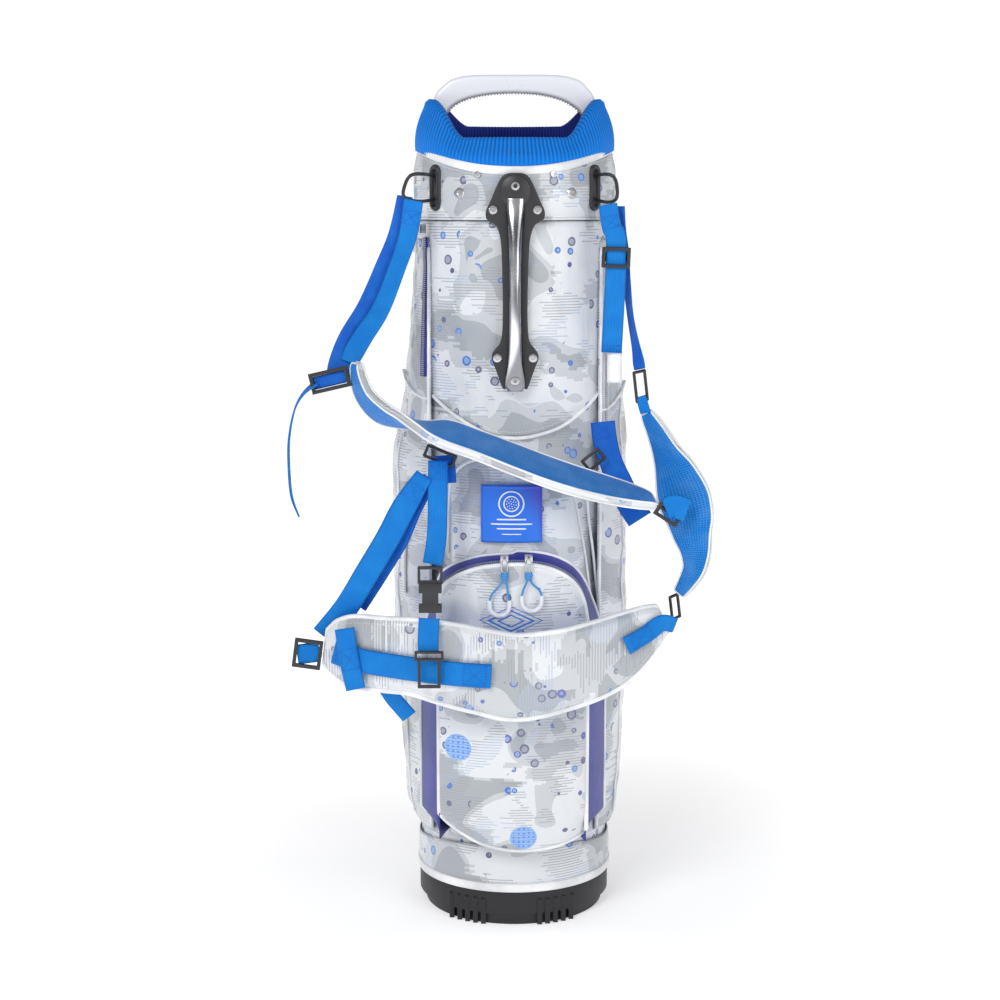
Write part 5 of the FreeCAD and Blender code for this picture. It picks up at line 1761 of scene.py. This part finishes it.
BACK_PAD_BAND = [(-184, -150.6, 312, 25, 0), (-155, -161.8, 305, 25, 0), (-128, -168.8, 302, 25, 0),
                 (-98, -175.3, 299, 25, 0), (-60, -180.8, 296, 25, 0), (-24, -183.3, 294, 25, 0)]
BACK_PAD_PATCH = [(-172, -160.5, 338, 20, 0), (-167, -164.5, 305, 20, 0), (-161, -164.5, 276, 20, 0)]
BACK_PAD_TAB = [(112, -165.7, 321, 19, 0), (131, -156.7, 330, 18, 0), (149, -146.7, 340, 18, 0),
                (163, -138, 336, 16, 0)]


LEFT_THREAD = [(-202, -127, 582.3, 13, 0), (-186, -127, 586, 13, 0), (-169, -127, 590, 13, 0)]
HIP_THREAD = [(-223, -134, 304.5, 21, 0), (-212, -134, 306, 21, 0), (-200, -134, 307.5, 21, 0)]
RING_TAB = [(128, -103.5, 567, 10, 5), (130, -105.5, 560, 11, 12), (133, -105.5, 550, 12, 28)]


def strap_frames(stations, per=8):
    """Smooth (centre, across, normal, half width) along a strap's stations."""
    rows = spline(stations, per)
    frames = []
    for i, row in enumerate(rows):
        before, after = rows[max(i - 1, 0)][:3], rows[min(i + 1, len(rows) - 1)][:3]
        t = Vector(after - before).normalized()
        out = Vector((0, -1, 0))
        normal = (out - t * out.dot(t)).normalized()
        normal = Matrix.Rotation(radians(row[4]), 3, t) @ normal
        frames.append((Vector(row[:3]), t.cross(normal), normal, row[3] / 2))
    return frames


def ribbon(name, stations, thick=None, per=8, off=0.0, curl=0.0):
    """Webbing with rounded edges; UV runs across and along it in metres."""
    thick = thick or sizes().webbing / MM
    frames = strap_frames(stations, per)
    section = 12
    rows = []
    for centre, across, normal, half in frames:
        row = []
        for k in range(section + 1):
            u = -1 + 2 * k / section
            edge = 0.5 * thick * sqrt(max(0.0, 1 - max(0.0, (abs(u) - 0.93) / 0.07) ** 2))
            bow = curl * (u * u - 0.33)
            row.append((centre + across * half * u + normal * (edge + off + bow), u, edge))
        back = [(p - normal * (2 * e), u, e) for p, u, e in reversed(row[1:-1])]
        rows.append([tuple(p) for p, u, e in row] + [tuple(p) for p, u, e in back])
    g = np.array(rows)
    count = g.shape[1]
    obj = grid_piece(name, rows, wrap_cols=True, cap=True)
    layer = obj.data.uv_layers["UVMap"].data
    run = np.concatenate([[0], np.cumsum(np.linalg.norm(np.diff(g.mean(axis=1), axis=0), axis=1))])
    widths = [f[3] for f in frames]
    for loop in obj.data.loops:
        r, c = divmod(loop.vertex_index, count)
        u = -1 + 2 * c / section if c <= section else 1 - 2 * (c - section) / section
        layer[loop.index].uv = (u * widths[r] * MM, run[r] * MM)
    return obj


def box_stitch(stations, at, length, margin=2.4, per=8, lift=None):
    """Paths of a sewn box with a cross, on the face of a strap around a share of its run."""
    lift = (sizes().webbing / MM) / 2 + 0.25 if lift is None else lift
    frames = strap_frames(stations, per)
    n = len(frames)
    run = np.concatenate([[0], np.cumsum([(frames[i + 1][0] - frames[i][0]).length
                                          for i in range(n - 1)])])

    def spot(s, u):
        s = min(max(s, 0.0), run[-1])
        i = min(int(np.searchsorted(run, s, side="right")) - 1, n - 2)
        k = (s - run[i]) / max(run[i + 1] - run[i], 1e-9)
        c = frames[i][0].lerp(frames[i + 1][0], k)
        a = frames[i][1].lerp(frames[i + 1][1], k)
        m = frames[i][2].lerp(frames[i + 1][2], k)
        h = frames[i][3] * (1 - k) + frames[i + 1][3] * k
        return c + a * (h - margin) * u + m * lift, m
    s0 = at * run[-1] - length / 2
    s1 = s0 + length
    corners = [(s0, -1), (s0, 1), (s1, 1), (s1, -1), (s0, -1), (s1, 1)]
    cross = [(s0, 1), (s1, -1)]
    paths = []
    for line in (corners, cross):
        pts, outs = [], []
        for (sa, ua), (sb, ub) in zip(line, line[1:]):
            for k in range(8):
                p, m = spot(sa + (sb - sa) * k / 8, ua + (ub - ua) * k / 8)
                pts.append(tuple(p))
                outs.append(tuple(m))
        p, m = spot(*line[-1])
        pts.append(tuple(p))
        outs.append(tuple(m))
        paths.append((pts, outs))
    return paths


class GOLFBAG_OT_straps(bpy.types.Operator):
    """Builds the webbing of both shoulder straps and the cross straps"""
    bl_idname = "golfbag.straps"
    bl_label = "Webbing"

    def execute(self, context):
        def group(name, node, runs, material="webbing"):
            objs = []
            for k, item in enumerate(runs):
                stations, finish, extra = item if isinstance(item, tuple) else (item, material, {})
                obj = ribbon("%s_%d" % (name, k), stations, **extra)
                obj.data.materials.append(mat(finish))
                objs.append(obj)
            return keep(joined(name, objs), "blue_webbing", replaces=[node])

        # plies that lie behind or under others take the darker webbing copy, as painted shade
        group("left_shoulder_webbing", "left_strap", [
            LEFT_FRONT_PLY, (LEFT_BACK_PLY, "webbing_deep", {}), (LEFT_TAIL, "webbing", {"curl": 0.4}),
            (LEFT_THREAD, "webbing_deep", {})])
        group("right_shoulder_webbing", "right_strap", [
            RIGHT_FRONT_PLY, (RIGHT_BACK_PLY, "webbing_deep", {}), RING_TAB])
        group("cross_webbing", "cross_strap",
              [CROSS_WEB, (CROSS_WEB_UNDER, "webbing_deep", {}), HIP_THREAD])
        group("buckle_webbing", "buckle_strap", [(BUCKLE_WEB, "webbing", {"curl": 0.3})])
        group("buckle_webbing_lower", "buckle_strap_lower", [BUCKLE_WEB_LOW])
        group("anchor_webbing", "anchor_straps", [
            (ANCHOR_WEB_LEFT, "webbing_deep", {}), (ANCHOR_WEB_RIGHT, "webbing_deep", {"curl": 0.4})])
        group("webbing_tails", "strap_tails", [HIP_TAIL, (END_TAIL, "webbing", {"curl": 0.5})])
        group("back_pad_band", "back_pad_webbing", [BACK_PAD_BAND, BACK_PAD_TAB])
        group("back_pad_upright", "back_pad_patch", [BACK_PAD_PATCH])

        sewn = []
        sewn += box_stitch(RIGHT_FRONT_PLY, 0.97, 6)
        sewn += box_stitch(RIGHT_FRONT_PLY, 0.12, 12)
        sewn += box_stitch(LEFT_FRONT_PLY, 0.10, 14)
        sewn += box_stitch(ANCHOR_WEB_RIGHT, 0.08, 16)
        sewn += box_stitch(BACK_PAD_PATCH, 0.5, 21, margin=2.0)
        sewn += box_stitch(BACK_PAD_BAND, 0.90, 22)
        sewn += box_stitch(BACK_PAD_TAB, 0.3, 24)
        sewn += box_stitch(CROSS_WEB, 0.10, 16)
        sewn += box_stitch(BUCKLE_WEB, 0.12, 14)
        keep(stitches("webbing_stitches", sewn, mat("thread_blue"), 2.3, 0.7, 0.5), "blue_webbing")

        low, high = span("strap_tag")
        rows = []
        for k in range(13):
            z = high.z - (high.z - low.z) * k / 12
            y = (low.y + high.y) / 2 - 0.6 * sin(pi * k / 12)
            rows.append([(low.x, y, z), ((low.x + high.x) / 2, y - 0.5, z), (high.x, y, z)])
        tag = grid_piece("size_tag", rows)
        face_out(tag)
        thicken(tag, 0.7, offset=0.0)
        keep(tag, "white_tape", replaces=["strap_tag"], finish="tag")
        return {"FINISHED"}


def foam_pad(name, stations, thick, face, back, wall=0.1, per=8, edge_finish="piping"):
    """Crowned pad: two sewn covers that bulge between piped edges, closed at both ends."""
    frames = strap_frames(stations, per)
    cols = 14
    rows_front, rows_back = [], []
    n = len(frames)
    for i, (c, a, m, h) in enumerate(frames):
        ends = min(1.0, min(i, n - 1 - i) / 5 + 0.12)
        crown = thick / 2 * sqrt(1 - (1 - min(1.0, ends)) ** 2)
        front, back_row = [], []
        for k in range(cols + 1):
            u = -1 + 2 * k / cols
            swell = (1 - abs(u) ** 3.2) ** 0.55
            seed = 3.0 if name.endswith("left") else 6.0
            p = c + a * h * u
            lump = 0.35 * wrinkle((p.x, p.y, p.z), 26, 1.0, seed) * swell
            front.append(tuple(p + m * (crown * (wall + (1 - wall) * swell) + lump)))
            back_row.append(tuple(p - m * (crown * (wall + (1 - wall) * swell))))
        rows_front.append(front)
        rows_back.append(back_row)
    front = grid_piece(name + "_front", rows_front, recalc=False)
    back_obj = grid_piece(name + "_back", [r[::-1] for r in rows_back], recalc=False)
    fronts = front.data
    lean = sum((Vector(p.normal)).dot(frames[min(i // cols, n - 1)][2])
               for i, p in enumerate(fronts.polygons))
    if lean < 0:
        front.data.flip_normals()
        back_obj.data.flip_normals()
    front.data.materials.append(face)
    back_obj.data.materials.append(back)
    # side wall closes the two covers, so that the pad is one closed form
    loop_f = ([r[0] for r in rows_front] + rows_front[-1][1:] + [r[-1] for r in rows_front[::-1]][1:]
              + rows_front[0][::-1][1:-1])
    loop_b = ([r[0] for r in rows_back] + rows_back[-1][1:] + [r[-1] for r in rows_back[::-1]][1:]
              + rows_back[0][::-1][1:-1])
    rim = grid_piece(name + "_wall", [loop_f, loop_b], wrap_cols=True)
    rim.data.materials.append(mat(edge_finish))
    pad = joined(name, [front, back_obj, rim])
    bm = bmesh.new()
    bm.from_mesh(pad.data)
    bmesh.ops.remove_doubles(bm, verts=bm.verts, dist=1e-6)
    bmesh.ops.recalc_face_normals(bm, faces=bm.faces)
    bm.to_mesh(pad.data)
    bm.free()
    if wall > 0.3:
        edges = [loop_f, loop_b]
    else:
        edges = [[tuple((np.array(a) + np.array(b)) / 2) for a, b in zip(loop_f, loop_b)]]
    return pad, edges, frames


class GOLFBAG_OT_pads(bpy.types.Operator):
    """Builds the two shoulder pads and the back pad"""
    bl_idname = "golfbag.pads"
    bl_label = "Foam pads"

    def execute(self, context):
        thick = sizes().pad / MM
        lines = []
        for label, slot, stations, depth, face, back, wall, bead in (
                ("shoulder_pad_left", "pad_fabric", PAD_DIAGONAL, thick - 3.5, "pad_mesh", "pad_mesh",
                 0.72, 1.1),
                ("shoulder_pad_right", "pad_fabric", PAD_RIGHT, thick - 5, "pad_mesh", "camo_pad",
                 0.60, 1.1),
                ("back_pad", "camo_fabric", PAD_BACK, thick - 1, "camo_pad", "pad_mesh", 0.1, 2.7)):
            pad, edges, frames = foam_pad(label + "_cushion", stations, depth, mat(face), mat(back),
                                          wall,
                                          edge_finish="pad_edge" if wall > 0.3 else "piping")
            keep(pad, slot, replaces=[label])
            lines += [tube("pad_edge", evenly(edge, 3.0, closed=True), bead, 8, closed=True)
                      for edge in edges]
        keep(joined("pad_piping", lines), "white_tape", finish="piping")
        rows = []
        for c, a, m, h in frames:
            for side in (-1, 1):
                u = side * (1 - 6.0 / h) if h > 12 else 0
                swell = (1 - abs(u) ** 3.2) ** 0.55
                rows.append((side, c + a * h * u + m * ((thick - 1) / 2 * (0.10 + 0.90 * swell) + 0.4),
                             m))
        paths = []
        for side in (-1, 1):
            pts = [tuple(p) for s, p, m in rows if s == side]
            outs = [tuple(m) for s, p, m in rows if s == side]
            paths.append((pts[4:-4], outs[4:-4]))
        keep(stitches("back_pad_stitches", paths, mat("thread")), "white_tape")
        return {"FINISHED"}


class GOLFBAG_OT_hardware(bpy.types.Operator):
    """Builds the adjusters, rings, buckle, sliders and finger pulls"""
    bl_idname = "golfbag.hardware"
    bl_label = "Strap hardware"

    def execute(self, context):
        for node, edge in (("adjuster_left", 1.1), ("adjuster_end", 1.0), ("adjuster_hip", 1.1),
                           ("buckle_socket", 1.1), ("buckle_tongue", 0.8)):
            keep(refined(node, edge, node + "_moulding"), "black_plastic", replaces=[node],
                 finish="black")
        keep(refined("adjuster_right", 1.0, "adjuster_right_moulding"), "black_plastic",
             "strap_adjuster",
             ["adjuster_right"], "black")
        keep(refined("strap_rings", 0, "strap_wire_rings"), "black_wire", replaces=["strap_rings"],
             finish="wire")
        for node, body in (("ball_slider_left", "zip_left"), ("ball_slider_right", "zip_right"),
                           ("side_slider_upper", "side_zip_upper"),
                           ("side_slider_lower", "side_zip_lower")):
            keep(refined(node, 0.6, node + "_body"), "steel", body, [node], "steel")
        for side in ("left", "right"):
            self.finger_pull(side)
        return {"FINISHED"}

    def finger_pull(self, side):
        node, body = "ball_pull_" + side, "pull_" + side
        low, high = span(node)
        lean = {"left": -5.0, "right": 3.0}[side]
        slider_low, slider_high = span("ball_slider_" + side)
        top = Vector(((slider_low.x + slider_high.x) / 2, slider_low.y + 2.0,
                      (slider_low.z + slider_high.z) / 2))
        knot = Vector((top.x, (low.y + high.y) / 2, top.z - 15.5))
        centre = Vector((top.x + lean, knot.y, {"left": 357, "right": 362}[side]))
        ring = []
        for a in full_turn(28):
            ring.append((top.x + 3.1 * cos(a), top.y + 0.2, top.z - 6.4 + 6.0 * sin(a)))
        link = tube("link", ring, 0.9, 8, closed=True)
        dress(link, "steel")
        wraps = []
        for k, (dz, r) in enumerate(((2.6, 2.5), (0.6, 3.1), (-1.6, 3.0), (-3.6, 2.4))):
            loop = [(knot.x + r * cos(a), knot.y + 0.85 * r * sin(a), knot.z + dz + 0.5 * cos(a + k))
                    for a in np.linspace(0, TURN, 20)[:-1]]
            wrap = tube("wrap", loop, 1.25, 8, closed=True)
            dress(wrap, "cord")
            wraps.append(wrap)
        keep(joined("pull_link_" + side, [link] + wraps), "white_plastic", body)
        bow = []
        for k in range(25):
            a = pi + pi * k / 24
            bow.append((centre.x + 10 * cos(a), centre.y, centre.z + 10 * sin(a)))
        bow = [(centre.x - 10, centre.y,
                centre.z + 6)] + bow + [(centre.x + 10, centre.y, centre.z + 6)]
        grip = tube("pull_grip_" + side, evenly(bow, 1.5), 2.35, 14)
        rounded(grip, 0.5)
        apply_modifiers(grip)
        keep(grip, "white_plastic", body, finish="white_plastic")

        route = [(knot.x - 0.6, knot.y, knot.z - 2.0), (knot.x - 2.6, knot.y, knot.z - 8),
                 (centre.x - 8.5, centre.y, centre.z + 12), (centre.x - 10.6, centre.y, centre.z + 3),
                 (centre.x - 9.6, centre.y, centre.z - 7), (centre.x, centre.y, centre.z - 13.0),
                 (centre.x + 9.6, centre.y, centre.z - 7), (centre.x + 10.6, centre.y, centre.z + 3),
                 (centre.x + 8.5, centre.y, centre.z + 12), (knot.x + 2.6, knot.y, knot.z - 8),
                 (knot.x + 0.6, knot.y, knot.z - 2.0)]
        curve = bpy.data.curves.new("pull_cord_" + side, "CURVE")
        curve.dimensions = "3D"
        line = curve.splines.new("NURBS")
        line.points.add(len(route) - 1)
        for point, p in zip(line.points, route):
            point.co = (p[0] * MM, p[1] * MM, p[2] * MM, 1)
        line.order_u = 3
        line.use_endpoint_u = True
        curve.bevel_depth = 1.15 * MM
        curve.bevel_resolution = 3
        curve.resolution_u = 8
        cord = bpy.data.objects.new("pull_cord_" + side, curve)
        bpy.context.collection.objects.link(cord)
        curve.materials.append(mat("cord"))
        bare = curve.copy()
        bare.bevel_depth = 0
        probe = bpy.data.objects.new("probe", bare)
        bpy.context.collection.objects.link(probe)
        view = bpy.context.evaluated_depsgraph_get()
        mesh = bpy.data.meshes.new_from_object(probe.evaluated_get(view))
        bpy.data.objects.remove(probe)
        bpy.data.curves.remove(bare)
        bpy.data.meshes.remove(mesh)
        keep(cord, "white_plastic", body, [node])
        tuple(c * MM for c in route[0])


class GOLFBAG_OT_badge(bpy.types.Operator):
    """Builds the soft square badge with a raised ring, a dimpled ball and four plain bars"""
    bl_idname = "golfbag.badge"
    bl_label = "Badge"

    def execute(self, context):
        low, high = span("label_patch")
        x0, x1, z0, z1 = low.x, high.x, low.z, high.z
        cx, cz = (x0 + x1) / 2, (z0 + z1) / 2

        def face(x, z, proud):
            return mid_bulge(x, z) - 4.6 - proud
        rows = []
        n = 40
        for r in range(n + 1):
            row = []
            for c in range(n + 1):
                u, v = c / n, r / n
                near = min(u * (x1 - x0), (1 - u) * (x1 - x0), v * (z1 - z0), (1 - v) * (z1 - z0))
                x, z = x0 + (x1 - x0) * u, z0 + (z1 - z0) * v
                rim = 0.7 if 0.8 < near < 2.6 else 0.0
                row.append((x, face(x, z, 0.6 * min(1, near / 0.8) + rim), z))
            rows.append(row)
        plate = grid_piece("badge_plate", rows)
        face_out(plate)
        thicken(plate, 1.8)
        keep(plate, "patch_rubber", replaces=["label_patch"], finish="badge")

        marks = []
        ring_c = (cx - 0.2, cz + 10.5)

        def hoop(r, w, name="ring"):
            pts = [(ring_c[0] + r * cos(a), face(ring_c[0] + r * cos(a), ring_c[1] + r * sin(a), 1.1),
                    ring_c[1] + r * sin(a)) for a in np.linspace(0, TURN, 73)[:-1]]
            return tube(name, pts, w, 8, closed=True)
        marks.append(hoop(12.6, 0.85))
        marks.append(hoop(7.6, 0.7))
        for ring_r, count in ((0.0, 1), (2.6, 6), (5.0, 11)):
            for k in range(count):
                a = TURN * k / count + 0.3 * ring_r
                x, z = ring_c[0] + ring_r * cos(a), ring_c[1] + ring_r * sin(a)
                dot = []
                for rr, h in ((0.62, 0.5), (0.62, 1.5), (0.35, 1.75)):
                    dot.append([(x + rr * cos(b), face(x, z, h), z + rr * sin(b))
                                for b in full_turn(10)])
                marks.append(grid_piece("dot", dot, wrap_cols=True, cap=True))
        for z, half, w in ((cz - 5.5, 15, 0.85), (cz - 10.2, 21, 0.85), (cz - 14.9, 15, 0.85),
                           (cz - 20.5, 10, 0.6)):
            line = [(cx + half * s, face(cx + half * s, z, 1.1), z) for s in np.linspace(-1, 1, 15)]
            marks.append(tube("bar", line, w, 8))
        keep(joined("badge_raised_marks", marks), "white_plastic", finish="mark")
        edge = []
        inset = 1.7
        for xa, za, xb, zb in ((x0, z0, x1, z0), (x1, z0, x1, z1), (x1, z1, x0, z1), (x0, z1, x0, z0)):
            for k in range(16):
                x, z = xa + (xb - xa) * k / 16, za + (zb - za) * k / 16
                x = min(max(x, x0 + inset), x1 - inset)
                z = min(max(z, z0 + inset), z1 - inset)
                edge.append((x, face(x, z, 1.35), z))
        edge.append(edge[0])
        keep(stitches("badge_stitches", [(edge, [(0, -1, 0)] * len(edge))], mat("thread_blue"), 1.9,
                      0.6, 0.4), "patch_rubber")
        return {"FINISHED"}


class GOLFBAG_OT_base_and_stand(bpy.types.Operator):
    """Finishes the moulded base, the dividers and the folding stand"""
    bl_idname = "golfbag.base_and_stand"
    bl_label = "Base and stand"

    def execute(self, context):
        keep(refined("base_tub", 1.3, "base_moulding"), "black_plastic", replaces=["base_tub"],
             finish="black_base")
        for node, edge, finish, slot_name in (
                ("divider_frame", 2.2, "black", "black_plastic"),
                ("stand_bracket", 1.2, "black", "black_plastic"),
                ("rod_guides", 1.2, "black", "black_plastic"),
                ("collar_ring", 1.0, "black", "black_plastic")):
            keep(refined(node, edge, node + "_moulding"), slot_name, replaces=[node], finish=finish)
        keep(refined("foot_plate", 0.9, "foot_plate_moulding"), "black_plastic", "foot_plate",
             ["foot_plate"], "black_base")
        for side in ("left", "right"):
            keep(refined("leg_foot_" + side, 1.6, "leg_foot_%s_rubber" % side), "foot_rubber",
                 "leg_" + side,
                 ["leg_foot_" + side], "rubber")
        for node, finish in (("stand_leg_left", "alu"), ("stand_leg_right", "alu"),
                             ("push_rod", "steel"),
                             ("stand_pins", "steel"), ("foot_plate_pin", "steel"),
                             ("spine_stays", "fibre"),
                             ("base_floor", "black_base")):
            self.paint(node, finish)
        low, high = span("divider_panels")
        panels = []
        for along_x in (True, False):
            half = high.x if along_x else high.y
            rows = []
            for r in range(50):
                z = low.z + (high.z - low.z) * r / 49
                row = []
                for c in range(30):
                    u = -half + 2 * half * c / 29
                    wave = 0.5 * wrinkle((u, 40.0 * along_x, z), 60, 1.0, 8.0) * sin(pi * r / 49)
                    row.append((u, wave, z) if along_x else (wave, u, z))
                rows.append(row)
            sheet = grid_piece("divider_sheet", rows)
            thicken(sheet, 1.2, offset=0.0)
            panels.append(apply_modifiers(sheet))
        cloth = joined("divider_cloth", panels)
        keep(cloth, "divider_fabric", replaces=["divider_panels"], finish="lining")
        return {"FINISHED"}

    def paint(self, node, finish):
        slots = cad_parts[node].material_slots
        if not slots:
            raise RuntimeError(node + " has no material slot")
        for s in slots:
            s.link = "OBJECT"
            s.material = mat(finish)


class GOLFBAG_OT_finishes(bpy.types.Operator):
    """Builds the shader groups, the materials and the repeat trees"""
    bl_idname = "golfbag.finishes"
    bl_label = "Finishes"

    def execute(self, context):
        build_finishes()
        build_repeat_trees()
        return {"FINISHED"}


CAMERA_AT = (-15.3, -2037, 770)
CAMERA_DOWN = 9.11
CAMERA_LENS = 68.65
FLOOR_HALF = 40.0
SKY_LIGHT, SKY_SEEN = 0.30, 0.74
LAMP_TARGET = (0, 0, 0.45)
# name, place in metres, edge in metres, watts
LAMPS = (("key", (-1.1, -2.4, 2.2), 1.1, 37.0), ("fill", (1.6, -2.2, 1.3), 1.5, 15.0),
         ("edge_left", (-2.0, 0.2, 1.3), 0.5, 3.0), ("edge_right", (2.0, 0.2, 1.3), 0.5, 2.5))


class GOLFBAG_OT_stage(bpy.types.Operator):
    """Builds the camera, the floor and the soft lights"""
    bl_idname = "golfbag.stage"
    bl_label = "Stage"

    def execute(self, context):
        scene = context.scene
        data = bpy.data.cameras.new("front_camera")
        data.sensor_width = 36.0
        data.lens = CAMERA_LENS
        data.clip_end = 120.0
        camera = bpy.data.objects.new("front_camera", data)
        camera.location = Vector(CAMERA_AT) * MM
        camera.rotation_euler = (radians(90 - CAMERA_DOWN), 0, 0)
        context.collection.objects.link(camera)
        scene.camera = camera

        mesh = bpy.data.meshes.new("floor")
        corners = [(x * FLOOR_HALF, y * FLOOR_HALF, 0) for x, y in ((-1, -1), (1, -1), (1, 1), (-1, 1))]
        mesh.from_pydata(corners, [], [(0, 1, 2, 3)])
        floor = bpy.data.objects.new("floor", mesh)
        context.collection.objects.link(floor)
        # the floor glows: painted light, which also lights the bag from below
        floor_glow = Finish("glowing_floor_painted_shadow", Specular_IOR_Level=0.0, Emission_Strength=0.77)
        # painted contact shadow: the floor's glow is dimmed near the bag and rises to full with
        # distance
        far = floor_glow.g.step(floor_glow.g.vector("LENGTH", floor_glow.place), 0.15, 0.9)
        floor_glow.g.put(floor_glow.shader.inputs["Emission Color"],
                    floor_glow.g.mix(far, (0.55, 0.55, 0.56), (1.0, 1.0, 1.0)))
        fibre = floor_glow.g.noise(floor_glow.place, 9.0, 2.0)
        tone = floor_glow.g.mix(fibre, (0.90, 0.90, 0.90), (0.93, 0.93, 0.93))
        floor.data.materials.append(floor_glow.feed(tone, 0.9))

        world = bpy.data.worlds.new("studio")
        scene.world = world
        world.use_nodes = True
        back = world.node_tree.nodes["Background"]
        back.inputs["Color"].default_value = (1.0, 1.0, 1.0, 1.0)
        sky = Graph(world.node_tree)
        seen = sky.add("ShaderNodeLightPath").outputs["Is Camera Ray"]
        sky.put(back.inputs["Strength"], sky.mul_add(seen, SKY_SEEN, SKY_LIGHT))
        for name, place, size, power in LAMPS:
            light = bpy.data.lights.new(name, "AREA")
            light.shape = "SQUARE"
            light.size = size
            light.energy = power
            lamp = bpy.data.objects.new(name, light)
            lamp.location = place
            aim = Vector(LAMP_TARGET) - Vector(place)
            lamp.rotation_euler = aim.to_track_quat("-Z", "Y").to_euler()
            context.collection.objects.link(lamp)
        scene.view_settings.view_transform = "Standard"
        return {"FINISHED"}


OPERATORS = (
    GOLFBAG_OT_finishes, GOLFBAG_OT_tube, GOLFBAG_OT_panels, GOLFBAG_OT_ball_pocket,
    GOLFBAG_OT_side_pockets,
    GOLFBAG_OT_collar, GOLFBAG_OT_grab_handle, GOLFBAG_OT_carry_handle, GOLFBAG_OT_collar_hardware,
    GOLFBAG_OT_straps, GOLFBAG_OT_pads, GOLFBAG_OT_hardware, GOLFBAG_OT_badge,
    GOLFBAG_OT_base_and_stand,
    GOLFBAG_OT_stage,
)


class GOLFBAG_PT_panel(bpy.types.Panel):
    """Lists the bag's operators with the sizes and colours that they use"""
    bl_label = "Golf Bag"
    bl_idname = "GOLFBAG_PT_panel"
    bl_space_type = "VIEW_3D"
    bl_region_type = "UI"
    bl_category = "Golf Bag"

    def draw(self, context):
        layout = self.layout
        for group in (context.scene.golfbag_sizes, context.scene.golfbag_colours):
            box = layout.box()
            for label in group.__annotations__:
                box.prop(group, label)
        for operator in OPERATORS:
            layout.operator(operator.bl_idname)


CLASSES = (GolfBagSizes, GolfBagColours, *OPERATORS, GOLFBAG_PT_panel)


def register():
    for cls in CLASSES:
        bpy.utils.register_class(cls)
    bpy.types.Scene.golfbag_sizes = bpy.props.PointerProperty(type=GolfBagSizes)
    bpy.types.Scene.golfbag_colours = bpy.props.PointerProperty(type=GolfBagColours)


def unregister():
    del bpy.types.Scene.golfbag_colours
    del bpy.types.Scene.golfbag_sizes
    for cls in reversed(CLASSES):
        bpy.utils.unregister_class(cls)


def main():
    register()
    for operator in OPERATORS:
        category, name = operator.bl_idname.split(".")
        getattr(getattr(bpy.ops, category), name)()


if __name__ == "__main__":
    main()
